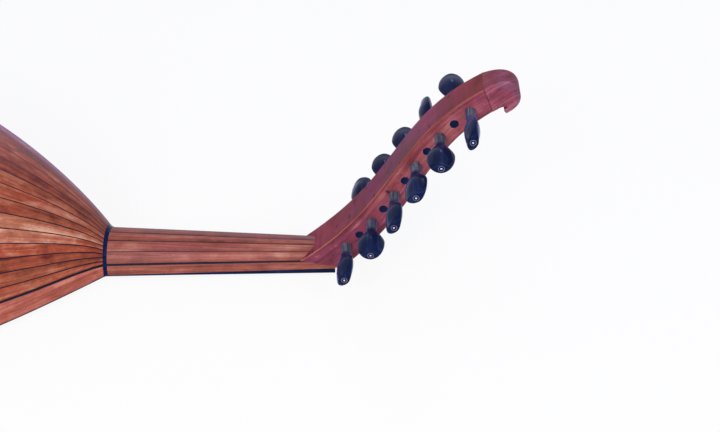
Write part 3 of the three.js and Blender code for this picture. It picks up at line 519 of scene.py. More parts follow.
def loft_faces(rings, count, caps=True):
    """Quads between rings of points, and a many-sided face at either end."""
    faces = []
    for i in range(rings - 1):
        for j in range(count):
            k = (j + 1) % count
            faces.append((i * count + j, i * count + k, (i + 1) * count + k, (i + 1) * count + j))
    if caps:
        faces.append(tuple(range(count - 1, -1, -1)))
        faces.append(tuple(range((rings - 1) * count, rings * count)))
    return faces


def loft(name, rings, materials, slot, **settings):
    """Piece through rings, each of them a list of points with their places on the board."""
    points, grain = zip(*[row for ring in rings for row in ring])
    return piece(name, points, loft_faces(len(rings), len(rings[0])), materials, slot, grain, **settings)


def cut(obj, *cutters):
    """Takes the cutters out of a piece and deletes them."""
    for cutter in cutters:
        modifier = obj.modifiers.new("cut", "BOOLEAN")
        modifier.operation = "DIFFERENCE"
        modifier.solver = "EXACT"
        modifier.object = cutter
    bpy.context.view_layer.update()
    done = bpy.data.meshes.new_from_object(obj.evaluated_get(bpy.context.evaluated_depsgraph_get()))
    obj.modifiers.clear()
    old = obj.data
    obj.data = done
    done.name = old.name
    bpy.data.meshes.remove(old)
    for cutter in cutters:
        bpy.data.objects.remove(cutter)
    return obj


def cutter(points, faces):
    """A solid in the instrument's own frame that is only used for cutting."""
    return add_object("cutter", own_mesh("cutter", points, faces))


def side_prism(outline):
    """Cutter with an outline in the side view, wider than neck and pegbox."""
    points = [(x, side * CUTTER_HALF_WIDTH, z) for side in (-1, 1) for x, z in outline]
    return cutter(points, loft_faces(2, len(outline)))


# Bowl surface


def bezier(points, share):
    p0, p1, p2, p3 = (np.array(p, float) for p in points)
    rest = 1 - share
    return p0 * rest ** 3 + 3 * p1 * share * rest ** 2 + 3 * p2 * share ** 2 * rest + p3 * share ** 3


def bezier_slope(points, share):
    p0, p1, p2, p3 = (np.array(p, float) for p in points)
    rest = 1 - share
    return 3 * ((p1 - p0) * rest ** 2 + 2 * (p2 - p1) * share * rest + (p3 - p2) * share ** 2)


FLARE_POINTS = 600


def flare_table(throat, crown, flare):
    """Places and heights of an outline from the throat to the widest place."""
    angle, reach, crown_reach = flare
    points = (
        (0, throat),
        (reach * cos(angle), throat + reach * sin(angle)),
        (WIDEST_FROM_NECK - crown_reach, crown),
        (WIDEST_FROM_NECK, crown),
    )
    return np.array([bezier(points, t) for t in np.linspace(0, 1, FLARE_POINTS)])


PLAN = flare_table(THROAT_HALF_WIDTH, WIDEST_HALF_WIDTH, PLAN_FLARE)
BACK = flare_table(THROAT_DEPTH, BOWL_DEPTH, BACK_FLARE)


def bowl_section(station):
    """Distance from the neck, half width and depth: station 0 is the neck joint, 1 the widest place, 2 the tail."""
    shoulder = WIDEST_FROM_NECK * min(station, 1)
    tail = max(station - 1, 0) * pi / 2
    return (
        shoulder + (BOWL_LENGTH - WIDEST_FROM_NECK) * sin(tail),
        float(np.interp(shoulder, PLAN[:, 0], PLAN[:, 1])) * cos(tail),
        float(np.interp(shoulder, BACK[:, 0], BACK[:, 1])) * cos(tail),
    )


def bowl_point(station, angle, under=0.0):
    """Point of the bowl's surface, or of a surface under it; the angle runs from the bass edge over the back."""
    distance, half_width, depth = bowl_section(station)
    point = Vector((-distance, -half_width * cos(angle), depth * sin(angle)))
    if not under:
        return point
    step = 0.002
    along = bowl_point(station + step, angle) - bowl_point(max(station - step, 0), angle)
    across = bowl_point(station, angle + step) - bowl_point(station, angle - step)
    return point - across.cross(along).normalized() * under


def seam_angle(station, seam):
    """Angle of a seam between two ribs: seam 0 is the bass band's, the last one the treble band's."""
    distance = bowl_section(station)[0]
    band = lerp(BAND_THROAT_ANGLE, BAND_ANGLE, 1 - exp(-distance / BAND_SETTLE))
    share = seam / RIB_COUNT
    return band + (pi - 2 * band) * (share - RIB_NARROWING_SHARE * sin(2 * pi * share))


def beside_seam(station, seam, millimetres):
    _, half_width, depth = bowl_section(station)
    angle = seam_angle(station, seam)
    return angle + millimetres / hypot(half_width * sin(angle), depth * cos(angle))


TAIL_HALF_WIDTH = 13.4
SHOULDER_STEPS = 52
SHOULDER_STEP_POWER = 1.25
TAIL_STEPS = 34
FIRST_STATION = GAP / WIDEST_FROM_NECK
LAST_STATION = 1 + acos(TAIL_HALF_WIDTH / WIDEST_HALF_WIDTH) / (pi / 2)
STATIONS = [lerp(FIRST_STATION, 1, (i / SHOULDER_STEPS) ** SHOULDER_STEP_POWER) for i in range(SHOULDER_STEPS)]
STATIONS += spaced(1, LAST_STATION, TAIL_STEPS)
THIN_LINE = 0.9
THICK_LINE = 2.3
LINE_DEPTH = 1.2
STRIP_COLUMNS = 4
LINE_COLUMNS = 2
EDGE_TOP = 2.25

# How much lighter or darker than the others each rib is, from the bass side on
RIB_TONES = (-0.02, -0.26, -0.32, -0.08, 0.2, 0.14, 0.02, 0.1, -0.04, -0.16, -0.1, 0.06, -0.12, 0.04, 0.12, -0.04,
             0.08, -0.16, -0.1, 0.05)


def line_width(seam):
    return THICK_LINE if seam in (0, RIB_COUNT) else THIN_LINE


def bowl_strip(name, low, high, columns, material, slot, board, replaces=(), thick=RIB_THICKNESS, tone=0.0):
    """Bent strip of the bowl between two edges given as angles at a station."""
    rings = []
    along = 0
    before = None
    for station in STATIONS:
        middle = bowl_point(station, (low(station) + high(station)) / 2)
        along += (middle - before).length if before else 0
        before = middle
        angles = spaced(low(station), high(station), columns)
        outer = [bowl_point(station, a) for a in angles]
        inner = [bowl_point(station, a, thick) for a in reversed(angles)]
        width = sum((outer[j + 1] - outer[j]).length for j in range(columns))
        across = [(j / columns - 0.5) * width for j in range(columns + 1)]
        rings.append([(p, (along, a, board)) for p, a in zip(outer + inner, across + across[::-1])])
    return loft(name, rings, material, slot, replaces=replaces, sharp=40, tone=tone)


def edge_angle(station):
    """Angle at which the bowl's surface meets the top of the soundboard."""
    return asin(clamp(EDGE_TOP / bowl_section(station)[2], 0, 0.5))


def make_bowl():
    half = [line_width(s) / 2 for s in range(RIB_COUNT + 1)]
    bowl_strip("bass_band", edge_angle, lambda s: beside_seam(s, 0, -half[0]), STRIP_COLUMNS, BAND_WOOD,
               "side_band", BOARD["bass band"], replaces=["rib_bass_band"])
    bowl_strip("treble_band", lambda s: beside_seam(s, RIB_COUNT, half[-1]), lambda s: pi - edge_angle(s),
               STRIP_COLUMNS, BAND_WOOD, "side_band", BOARD["treble band"], replaces=["rib_treble_band"])
    for i, tone in enumerate(RIB_TONES):
        name = f"rib_{i + 1:02d}"
        slot = "rib_dark" if i % 2 == 0 else "rib_light"
        bowl_strip(f"{name}_strip", lambda s: beside_seam(s, i, half[i]),
                   lambda s: beside_seam(s, i + 1, -half[i + 1]), STRIP_COLUMNS, RIB_WOOD, slot, i + 1,
                   replaces=[name], tone=tone)
    for i in range(RIB_COUNT + 1):
        bowl_strip(f"purfling_{i:02d}", lambda s: beside_seam(s, i, -half[i]), lambda s: beside_seam(s, i, half[i]),
                   LINE_COLUMNS, INLAY, "ebony", BOARD["lines"] + i, thick=LINE_DEPTH)


# Soundboard

TAIL_EDGE_STEPS = 6
HOLE_SIDES = 96
RIM_SIDES = 128
RIM_DEPTH = 0.3
GUARD_START = -234
GUARD_END = -376
GUARD_HALF_WIDTH = 35
GUARD_THICKNESS = 0.5
GUARD_BEVEL_SHARE = 0.985
GUARD_STEPS = 48


def board_edge(inset):
    """Edge of the soundboard from the neck round the tail and back, moved inwards."""
    stations = [0] + STATIONS + spaced(LAST_STATION, 2, TAIL_EDGE_STEPS)[1:]
    bass = [Vector((-bowl_section(t)[0], -bowl_section(t)[1])) for t in stations]
    edge = bass + [Vector((p.x, -p.y)) for p in bass[-2::-1]]
    moved = []
    for i, p in enumerate(edge):
        along = edge[min(i + 1, len(edge) - 1)] - edge[max(i - 1, 0)]
        inwards = Vector((along.y, -along.x)).normalized()
        place = p + inwards * inset
        moved.append(Vector((min(place.x, 0), place.y)))
    return moved


def circle(x, y, radius):
    return [Vector((x + radius * c, y + radius * s)) for c, s in circle_steps(HOLE_SIDES)]


def make_binding():
    """Dark strip let into the edge of the soundboard, with a strip of the bands' wood under it."""
    top = EDGE_TOP - BINDING_DROP
    edge = BINDING_EDGE
    section = ((0, top), (0, BINDING_LINE), (0, edge), (edge, 0), (BINDING_WIDTH, 0), (BINDING_WIDTH, top))
    edges = zip(*[board_edge(inset) for inset, _ in section])
    rings = [[((p.x, p.y, z), (i * 8.0, inset, BOARD["binding"])) for p, (inset, z) in zip(places, section)]
             for i, places in enumerate(edges)]
    kinds = [1, 0, 0, 0, 0, 0] * (len(rings) - 1) + [0, 0]
    loft("soundboard_binding", rings, [EBONY, BAND_WOOD], "ebony", kinds=kinds)


def make_soundboard():
    """Plate with its holes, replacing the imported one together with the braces."""
    loops = [board_edge(BINDING_WIDTH + TRIM_GAP)]
    loops += [circle(*hole)[::-1] for hole in HOLES.values()]
    flat = [p for loop in loops for p in loop]
    size = len(flat)
    points = [(p.x, p.y, z) for z in (0, SOUNDBOARD) for p in flat]
    faces = []
    for triangle in tessellate_polygon([[Vector((p.x, p.y, 0)) for p in loop] for loop in loops]):
        faces += [tuple(triangle), tuple(size + k for k in reversed(triangle))]
    first = 0
    for loop in loops:
        count = len(loop)
        for i in range(count):
            a, b = first + i, first + (i + 1) % count
            faces.append((a, b, size + b, size + a))
        first += count
    piece("soundboard_plate", points, faces, SPRUCE, "spruce", [(p[0], p[1], BOARD["soundboard"]) for p in points],
          replaces=["soundboard"])


def make_braces():
    """Spruce bars across the inside of the soundboard, lower at their ends."""
    distances, half_widths, depths = zip(*[bowl_section(t) for t in STATIONS])
    top = SOUNDBOARD + BRACE_HEIGHT
    end = SOUNDBOARD + BRACE_END_HEIGHT
    for number, place in enumerate(BRACE_PLACES, 1):
        half_width = float(np.interp(place, distances, half_widths)) - RIB_THICKNESS - BRACE_GAP_SIDEWAYS
        depth = float(np.interp(place, distances, depths)) - RIB_THICKNESS - BRACE_GAP_ABOVE
        reach = half_width * sqrt(1 - (end / depth) ** 2)
        side = [(reach, SOUNDBOARD), (reach, end), (reach - 2 * BRACE_HEIGHT, top)]
        outline = side + [(-y, z) for y, z in side[::-1]]
        sides = [-place + hand * BRACE_WIDTH / 2 for hand in (-1, 1)]
        rings = [[((x, y, z), (y, z + x - place, BOARD["braces"] + number)) for y, z in outline] for x in sides]
        loft(f"brace_{number}", rings, SPRUCE, "spruce", smooth=False)


def make_hole_rims():
    """Rings of dark, light and red wood let in round each hole."""
    for name, (x, y, radius) in HOLES.items():
        rings = HOLE_RINGS if name == "main" else HOLE_RINGS[:SMALL_HOLE_RINGS]
        section = [(radius + INLAY_PROUD, RIM_DEPTH), (radius + INLAY_PROUD, -INLAY_PROUD)]
        for width, _ in rings:
            section.append((section[-1][0] + width, -INLAY_PROUD))
        section.append((section[-1][0], RIM_DEPTH))
        kinds = [0] + [kind for _, kind in rings] + [0, 0]
        count = len(section)
        points, grain, faces = [], [], []
        for i in range(RIM_SIDES):
            turn = 2 * pi * i / RIM_SIDES
            points += [(x + r * cos(turn), y + r * sin(turn), z) for r, z in section]
            grain += [(r * turn, r, BOARD["rims"]) for r, z in section]
            here, there = i * count, (i + 1) % RIM_SIDES * count
            faces += [(here + j, here + (j + 1) % count, there + (j + 1) % count, there + j) for j in range(count)]
        piece(f"hole_rim_{name}", points, faces, [INLAY, PEARL, RIM_WOOD], "rosette_wood", grain,
              kinds=kinds * RIM_SIDES)


def make_pickguard():
    """Thin dark leaf between bridge and main hole."""
    outline = []
    for share in spaced(0, 1, GUARD_STEPS):
        half_width = GUARD_HALF_WIDTH * sin(pi * share ** 0.85) ** 0.8 + 0.01
        outline.append((lerp(GUARD_START, GUARD_END, share), half_width))
    outline += [(x, -y) for x, y in outline[::-1]]
    middle = (GUARD_START + GUARD_END) / 2
    rings = []
    for scale, z in ((1, INLAY_PROUD), (1, -GUARD_THICKNESS + 0.15), (GUARD_BEVEL_SHARE, -GUARD_THICKNESS)):
        ring = [(middle + (x - middle) * scale, y * scale) for x, y in outline]
        rings.append([((x, y, z), (x, y, BOARD["pickguard"])) for x, y in ring])
    loft("pickguard", rings, GUARD_WOOD, "bridge_wood", sharp=30)


# Neck

NECK_SEAMS_AT_JOINT = (22, 45.5, 68, 90, 112, 134.5, 158)
NECK_SEAMS_AT_NUT = (29, 55, 75.5, 90, 104.5, 125, 151)
NECK_LINE_HALF_ANGLES = (0.85, 2.1)
NECK_STRIP_FACETS = 8
NECK_START = 1.0
NECK_STEPS = 60
NECK_GRAIN_SCALE = 0.42
NUT_NOTCH_DEPTH = 5.5
PAST_THE_END = 20
FAR = 400
SEAT_LINE_SHARE = 0.55
SEAT_LINE_STEPS = 40
SEAT_PAST_LEDGE = 8
LEDGE_REACH = 85
RING_SIDES = 64
RING_GRAIN_SCALE = 0.5
FINGERBOARD_STEPS = 24
FINGERBOARD_PAST = 0.2
FINGERBOARD_ROUNDING = (0.5, 0.12)


def neck_section(x, angle, inset=0.0):
    """Point of the neck's back: round at the joint and a little squarer at the nut."""
    share = x / NECK_LENGTH
    half_width = lerp(THROAT_HALF_WIDTH, NUT_HALF_WIDTH, share) - inset
    depth = lerp(THROAT_DEPTH, NECK_DEPTH_AT_NUT, share) - inset
    power = 2 / lerp(2, NECK_SQUARENESS, share)
    c, s = cos(angle), sin(angle)
    return Vector((x, -half_width * copysign(abs(c) ** power, c), depth * abs(s) ** power))


def board_depth(x):
    return lerp(BOARD_AT_JOINT, BOARD_AT_NUT, x / NECK_LENGTH)


def neck_angles(share):
    """Angles round the neck's back with the kind and the board of the strip after each: kind 1 is a dark line."""
    marks = [(0, 0)]
    for i, seams in enumerate(zip(NECK_SEAMS_AT_JOINT, NECK_SEAMS_AT_NUT)):
        seam = radians(lerp(*seams, share))
        outer = i in (0, len(NECK_SEAMS_AT_JOINT) - 1)
        half = radians(NECK_LINE_HALF_ANGLES[outer])
        marks += [(seam - half, 1), (seam + half, 0)]
    marks.append((pi, 0))
    strips = []
    for i, ((low, kind), (high, _)) in enumerate(zip(marks, marks[1:])):
        steps = 1 if kind else NECK_STRIP_FACETS
        strips += [(lerp(low, high, k / steps), kind, (i + 1) // 2) for k in range(steps)]
    return strips + [(pi, 0, len(NECK_SEAMS_AT_JOINT))]


def make_neck():
    """Shaft of glued strips, cut for the fingerboard, the nut and the pegbox that is let into its end."""
    rings = []
    for x in spaced(NECK_START, NUT_REAR, NECK_STEPS):
        strips = neck_angles(x / NECK_LENGTH)
        rings.append([(neck_section(x, angle), (x, degrees(angle) * NECK_GRAIN_SCALE, BOARD["neck"] + board))
                      for angle, _, board in strips])
    kinds = [kind for _, kind, _ in strips] * NECK_STEPS + [0, 0]
    neck = loft("neck_back", rings, [NECK_WOOD, INLAY], "neck_wood", replaces=["neck"], kinds=kinds, sharp=50)
    low, high = -PAST_THE_END, NUT_REAR + PAST_THE_END
    board = side_prism([(low, low), (high, low), (high, board_depth(high) + TRIM_GAP),
                        (low, board_depth(low) + TRIM_GAP)])
    notch = NECK_LENGTH + CLOSE_GAP
    nut_notch = side_prism([(notch, low), (high, low), (high, NUT_NOTCH_DEPTH), (notch, NUT_NOTCH_DEPTH)])
    back = [tuple(beside_peg_line(share, 1, 0)) for share in spaced(0, SEAT_LINE_SHARE, SEAT_LINE_STEPS)]
    crossing = [p for p in back if p[1] > ledge_depth(p[0])]
    tongue = NECK_LENGTH - LEDGE_START[0] - SEAT_PAST_LEDGE
    far = NUT_REAR + FAR
    seat = side_prism([(tongue, ledge_depth(tongue))] + crossing + [(far, crossing[-1][1]), (far, ledge_depth(far))])
    cut(neck, board, nut_notch, seat)
    shade(neck.data, True, 40)


def make_ring():
    """Rounded black band round the joint of neck and bowl."""
    side = RING_HALF_WIDTH
    section = [(-side, -0.5), (0.1 - side, 0.25), (-0.6 * side, 0.55), (0, 0.65), (0.6 * side, 0.55),
               (side - 0.1, 0.25), (side, -0.5)]

    def place(x, out, angle):
        if x >= 0:
            return neck_section(x, angle, -out)
        base = bowl_point(-x / WIDEST_FROM_NECK, angle)
        return (base.x, base.y * (1 + out / THROAT_HALF_WIDTH), base.z * (1 + out / THROAT_DEPTH))

    rings = [[(place(x, out, angle), (x, degrees(angle) * RING_GRAIN_SCALE, BOARD["ring"])) for x, out in section]
             for angle in spaced(radians(1), radians(179), RING_SIDES)]
    loft("joint_ring", rings, EBONY, "ebony", replaces=["neck_joint_ring"], sharp=60)


def make_fingerboard():
    """Ebony wedge with its edges just rounded."""
    rings = []
    wide_rounding, close_rounding = FINGERBOARD_ROUNDING
    for x in spaced(-FINGERBOARD_PAST, NECK_LENGTH + FINGERBOARD_PAST, FINGERBOARD_STEPS):
        depth = board_depth(x)
        under = neck_section(x, 0).y
        angle = asin(clamp(depth / neck_section(x, pi / 2).z) ** lerp(1, 1.3, x / NECK_LENGTH))
        top = neck_section(x, angle).y
        side = [(under + wide_rounding, 0), (under + close_rounding, close_rounding), (under, wide_rounding),
                (top, depth)]
        section = side + [(-y, z) for y, z in side[::-1]]
        rings.append([((x, y, z), (x, y, BOARD["fingerboard"])) for y, z in section])
    loft("fingerboard_edge", rings, EBONY, "ebony", replaces=["fingerboard"], sharp=25)


# Pegbox

LINE_START_ANGLE = radians(35.4)
LINE_END_ANGLE = radians(31.9)
LINE_START = np.array((NECK_LENGTH - 33, -7.6))
LINE_END = np.array((NECK_LENGTH + 127, 171.8))
LINE_START_REACH = 124.1
LINE_END_REACH = 85.6
PEG_LINE = (
    LINE_START,
    LINE_START + LINE_START_REACH * np.array((cos(LINE_START_ANGLE), sin(LINE_START_ANGLE))),
    LINE_END - LINE_END_REACH * np.array((cos(LINE_END_ANGLE), sin(LINE_END_ANGLE))),
    LINE_END,
)
FRONT_END_SHARE = 1 - END_LEAN / (3 * LINE_END_REACH)
LINE_SHARES = np.linspace(0, 1, 2001)
LINE_STEPS = np.diff([bezier(PEG_LINE, t) for t in LINE_SHARES], axis=0)
LINE_LENGTHS = np.concatenate([[0], np.cumsum(np.linalg.norm(LINE_STEPS, axis=1))])

PEGBOX_STEPS = 90
PEGBOX_GRAIN_START = 12
CHEEK_EDGE = 0.7
ROOT_STEPS = 24
ROOT_FRONT_INSET = 0.4
ROOT_OVERLAP = 0.2
ROOT_BEFORE_FIRST_PEG = 8.5
ROOT_CUT = (90, -60, 90)
PEG_HOLE_GAP = 0.22
PEG_HOLE_REACH = 40
PEG_HOLE_SIDES = 48


def share_at_length(length):
    return float(np.interp(length, LINE_LENGTHS, LINE_SHARES))


def length_at_share(share):
    return float(np.interp(share, LINE_SHARES, LINE_LENGTHS))


def beside_peg_line(share, side, inset):
    """Point of the side view across the peg line: side 1 is the back face, -1 the open front."""
    centre = bezier(PEG_LINE, share)
    slope = bezier_slope(PEG_LINE, share)
    slope = slope / np.linalg.norm(slope)
    reach = side * (lerp(*PEGBOX_HALF_DEPTH, share) - inset)
    return centre + np.array((-slope[1], slope[0])) * reach


def leaned_share(share, side, inset):
    """Sections lean like the joint with the finial."""
    across = side * (1 - inset / PEGBOX_HALF_DEPTH[1])
    return share * lerp(FRONT_END_SHARE, 1, (1 + across) / 2)


def pegbox_half_width(x):
    taper = lerp(*PEGBOX_HALF_WIDTH, (x - NUT_REAR) / (LINE_END[0] - NUT_REAR))
    into_root = clamp((NUT_REAR - x) / ROOT_BLEND + 0.2)
    return taper - ROOT_NARROWING * into_root ** 2


def ledge_depth(x):
    """Depth of the ledge in the neck that carries the pegbox."""
    share = (x - NECK_LENGTH + LEDGE_START[0]) / (NUT_REAR - NECK_LENGTH + LEDGE_START[0])
    return lerp(LEDGE_START[1], LEDGE_END, share)


def pegbox_loft(name, section, material, slot, end_share, board, replaces=(), steps=PEGBOX_STEPS, kinds=None):
    """Piece along the peg line, of a section whose points are side, inset from it, hand and inset from the cheek."""
    rings = []
    for share in spaced(0, end_share, steps):
        along = length_at_share(share)
        ring = []
        for side, inset, hand, inside in section:
            x, z = beside_peg_line(leaned_share(share, side, inset), side, inset)
            across = (hand * inside if side > 0 and inset < 0.1 else 0) + side * (PEGBOX_GRAIN_START - inset)
            ring.append(((x, hand * (pegbox_half_width(x) - inside), z), (along, across + 0.6 * inside, board)))
        rings.append(ring)
    kinds = kinds * steps + [0, 0] if kinds else None
    return loft(name, rings, material, slot, replaces=replaces, kinds=kinds, sharp=25)


def below_ledge():
    low, high = NECK_LENGTH - LEDGE_REACH, NUT_REAR + GAP
    return side_prism([(low, -FAR), (high, -FAR), (high, ledge_depth(high)), (low, ledge_depth(low))])


def peg_list():
    """Order, name, centre in the side view, hand and turn of every peg."""
    pegs = []
    for order in range(PEG_COUNT):
        bass = order % 2 == 0
        number = order // 2
        centre = bezier(PEG_LINE, share_at_length(FIRST_PEG + order * PEG_PITCH))
        turns = BASS_TURNS if bass else TREBLE_TURNS
        pegs.append((f"peg_{'bass' if bass else 'treble'}_{number + 1}", centre, -1 if bass else 1,
                     radians(turns[number])))
    return pegs


def peg_radius(hand, y):
    """Radius of a peg at a place across the pegbox: pegs are thicker on the side of their heads."""
    share = 0.5 - hand * y / (2 * PEGBOX_HALF_WIDTH[0])
    return lerp(*PEG_RADIUS, share)


def peg_hole(centre, hand):
    points = []
    for y in (-PEG_HOLE_REACH, PEG_HOLE_REACH):
        radius = peg_radius(hand, y) + PEG_HOLE_GAP
        points += [(centre[0] + radius * c, y, centre[1] + radius * s) for c, s in circle_steps(PEG_HOLE_SIDES)]
    return cutter(points, loft_faces(2, PEG_HOLE_SIDES))


def make_cheek(hand, name):
    section = [
        (-1, CHEEK_EDGE, hand, 0),
        (1, BACK_BEVEL, hand, 0),
        (1, BACK_BEVEL, hand, CHEEK),
        (-1, CHEEK_EDGE, hand, CHEEK),
        (-1, 0, hand, CHEEK - CHEEK_EDGE),
        (-1, 0, hand, CHEEK_EDGE),
    ]
    cheek = pegbox_loft(name, section, CHEEK_WOOD, "pegbox_wood", PEGBOX_END_SHARE, BOARD["cheeks"] + hand,
                        replaces=[name.replace("_side", "")])
    cut(cheek, below_ledge(), *[peg_hole(centre, side) for _, centre, side, _ in peg_list()])
    shade(cheek.data, True, 25)


def make_pegbox():
    make_cheek(-1, "pegbox_cheek_bass_side")
    make_cheek(1, "pegbox_cheek_treble_side")
    section = [
        (1, BACK_BEVEL, -1, 0),
        (1, 0, -1, BACK_BEVEL),
        (1, 0, 1, BACK_BEVEL),
        (1, BACK_BEVEL, 1, 0),
        (1, BACK_BEVEL, 1, CHEEK),
        (1, BACK_PLATE, 1, CHEEK),
        (1, BACK_PLATE, -1, CHEEK),
        (1, BACK_BEVEL, -1, CHEEK),
    ]
    back = pegbox_loft("pegbox_back_plate", section, [BACK_WOOD, EDGE_WOOD], "pegbox_back_wood", PEGBOX_END_SHARE,
                       BOARD["back"], replaces=["pegbox_back"], kinds=[1, 0, 1, 0, 0, 0, 0, 0])
    cut(back, below_ledge())
    shade(back.data, True, 25)
    inner = CHEEK + CLOSE_GAP
    front, rear = ROOT_FRONT_INSET, BACK_PLATE - ROOT_OVERLAP
    section = [(-1, front, -1, inner), (1, rear, -1, inner), (1, rear, 1, inner), (-1, front, 1, inner)]
    root = pegbox_loft("pegbox_root_block", section, CHEEK_WOOD, "pegbox_wood",
                       share_at_length(FIRST_PEG - ROOT_BEFORE_FIRST_PEG), BOARD["root"], steps=ROOT_STEPS)
    length, low, high = ROOT_CUT
    end = NUT_REAR + length
    behind_nut = side_prism([(NUT_REAR, low), (end, low), (end, high), (NUT_REAR, high)])
    cut(root, below_ledge(), behind_nut)


# Finial: places lie in front of the end of the peg line and below it

FINIAL_NOSE = (22.2, 10.3)
FINIAL_LIP = (5.2, 17.6)
FINIAL_NOTCH = (
    (4.7, 16.8), (4.5, 15.8), (4.7, 14.6), (5.2, 14), (9.2, 13.45), (6.3, 11.8), (4.8, 11.25), (3, 10.9),
)
FINIAL_NOSE_TURN = radians(-109)
FINIAL_LIP_TURN = radians(10)
FINIAL_BACK_PULL = 20.6
FINIAL_NOSE_PULL = 10.5
FINIAL_LIP_PULL = 7.6
FINIAL_CURVE_POINTS = 60
FINIAL_STEPS = 48
WIDEST_BEVEL = 6
# Bevel width above which the faces carry the painted violet sheen
PAINTED_SHEEN_BEVEL = 2.9


def heading(angle, length):
    return Vector((cos(angle), sin(angle))) * length


def finial_outline():
    """Side outline of the finial with the bevel at each point."""
    tilt = LINE_END_ANGLE

    def in_front(along, below):
        return Vector(LINE_END) + heading(tilt, along) + heading(tilt - pi / 2, below)

    back_start = Vector(beside_peg_line(1, 1, 0))
    nose = in_front(*FINIAL_NOSE)
    lip = in_front(*FINIAL_LIP)
    turn = tilt + FINIAL_NOSE_TURN
    curves = (
        (back_start, back_start + heading(tilt, FINIAL_BACK_PULL), nose - heading(turn, FINIAL_NOSE_PULL), nose),
        (nose, nose + heading(turn, FINIAL_LIP_PULL), lip + heading(tilt - FINIAL_LIP_TURN, FINIAL_LIP_PULL), lip),
    )
    run = [Vector(bezier(curve, share)) for curve in curves for share in spaced(0, 1, FINIAL_CURVE_POINTS)]
    lengths = np.concatenate([[0], np.cumsum([(b - a).length for a, b in zip(run, run[1:])])])
    scroll = []
    for share in spaced(0, 1, FINIAL_STEPS):
        place = [float(np.interp(share * lengths[-1], lengths, [p[k] for p in run])) for k in (0, 1)]
        swell = sin(pi * share) * (1 - share / 3)
        scroll.append((Vector(place), lerp(BACK_BEVEL, WIDEST_BEVEL, swell) - share * CHEEK_EDGE))
    front = [in_front(*p) for p in FINIAL_NOTCH] + [Vector(beside_peg_line(FRONT_END_SHARE, -1, 0))]
    return (scroll + [(p, CHEEK_EDGE) for p in front])[::-1]


def make_finial():
    """Scroll whose sides are cut back by a bevel, widest round the nose; a wide bevel has a painted sheen."""
    outline = finial_outline()
    count = len(outline)
    flat = []
    for i, (point, bevel) in enumerate(outline):
        along = (outline[(i + 1) % count][0] - outline[i - 1][0]).normalized()
        flat.append(point + Vector((-along.y, along.x)) * bevel)
    points = []
    for hand, inner in ((-1, True), (-1, False), (1, False), (1, True)):
        for i, (point, bevel) in enumerate(outline):
            p = flat[i] if inner else point
            half = pegbox_half_width(p.x) - (0 if inner else bevel)
            points.append((p.x, hand * half, p.y))
    faces = loft_faces(4, count, caps=False)
    triangles = tessellate_polygon([[Vector((p.x, p.y, 0)) for p in flat]])
    faces += [tuple(t) for t in triangles]
    faces += [tuple(3 * count + k for k in reversed(t)) for t in triangles]
    # Faces of the wide bevel take the painted violet sheen
    edge = [2 if min(bevel, outline[(i + 1) % count][1]) > PAINTED_SHEEN_BEVEL else 0 for i, (_, bevel) in enumerate(outline)]
    kinds = edge + [1] * count + edge + [0] * (2 * len(triangles))
    grain = [(x * 0.8 + z * 0.6, y * 0.7 + z * 0.8 - x * 0.6, BOARD["scroll"]) for x, y, z in points]
    piece("pegbox_scroll", points, faces, [SCROLL_WOOD, SCROLL_TOP_WOOD, SCROLL_BEVEL_PAINTED_SHEEN], "pegbox_wood", grain,
          replaces=["pegbox_finial"], kinds=kinds, sharp=22)


# Pegs

PEG_SIDES = 56
PEG_SHAFT_STEPS = 8
PEG_COLLAR_STEPS = 4
PEG_HEAD_SHARES = [0.03 + 0.945 * share for share in spaced(0, 1, 30)] + [0.985, 0.994, 1.0]
PEG_TIP_ROUNDING = 0.7

# Rows of the tip: change of half width and of half thickness, and way out; rows of the eye: radius, way out and kind
PEG_TIP_ROWS = ((-0.35, -0.3, -0.35), (-0.9, -0.7, -0.08))
PEG_EYE_ROWS = ((2.55, -0.02, 2), (2.2, 0, 0), (0.8, 0, 1), (0.65, 0.12, 1), (0.4, 0.18, 1), (0.15, 0.2, 1))


def head_half_width(share):
    if share < 0.5:
        return lerp(PEG_RADIUS[0], PEG_HEAD_HALF_WIDTH, sin(pi * share) ** PEG_FLARE_POWER)
    return lerp(PEG_TIP_HALF_WIDTH, PEG_HEAD_HALF_WIDTH, sqrt(max(1 - (2 * share - 1) ** 2, 0)))


def peg_rows(outer, hand):
    """Rows of a peg as distance from the pegbox's middle, half width, half thickness, power and kind of face."""
    end_radius = PEG_RADIUS[1] - 0.5
    rows = [(-outer - 0.4, end_radius, end_radius, 2, 0)]
    for y in spaced(-outer - 0.1, outer, PEG_SHAFT_STEPS):
        radius = peg_radius(hand, hand * y)
        rows.append((y, radius, radius, 2, 0))
    radius = peg_radius(hand, hand * outer)
    for along in spaced(0, PEG_COLLAR, PEG_COLLAR_STEPS)[1:]:
        rows.append((outer + along, radius, radius, 2, 0))
    for share in PEG_HEAD_SHARES:
        swell = sin(pi * share)
        plain_half_thickness = lerp(PEG_RADIUS[0], PEG_TIP_HALF_THICKNESS, share)
        half_thickness = lerp(plain_half_thickness, PEG_HEAD_HALF_THICKNESS, swell ** PEG_WAIST_POWER)
        rows.append((outer + lerp(PEG_COLLAR, PEG_REACH - PEG_TIP_ROUNDING, share), head_half_width(share),
                     half_thickness, lerp(2, PEG_LENS_POWER, swell), 0))
    tip = outer + PEG_REACH
    for wider, thicker, out in PEG_TIP_ROWS:
        rows.append((tip + out, PEG_TIP_HALF_WIDTH + wider, PEG_TIP_HALF_THICKNESS + thicker, 2, 0))
    return rows + [(tip + out, radius, radius, 2, kind) for radius, out, kind in PEG_EYE_ROWS]


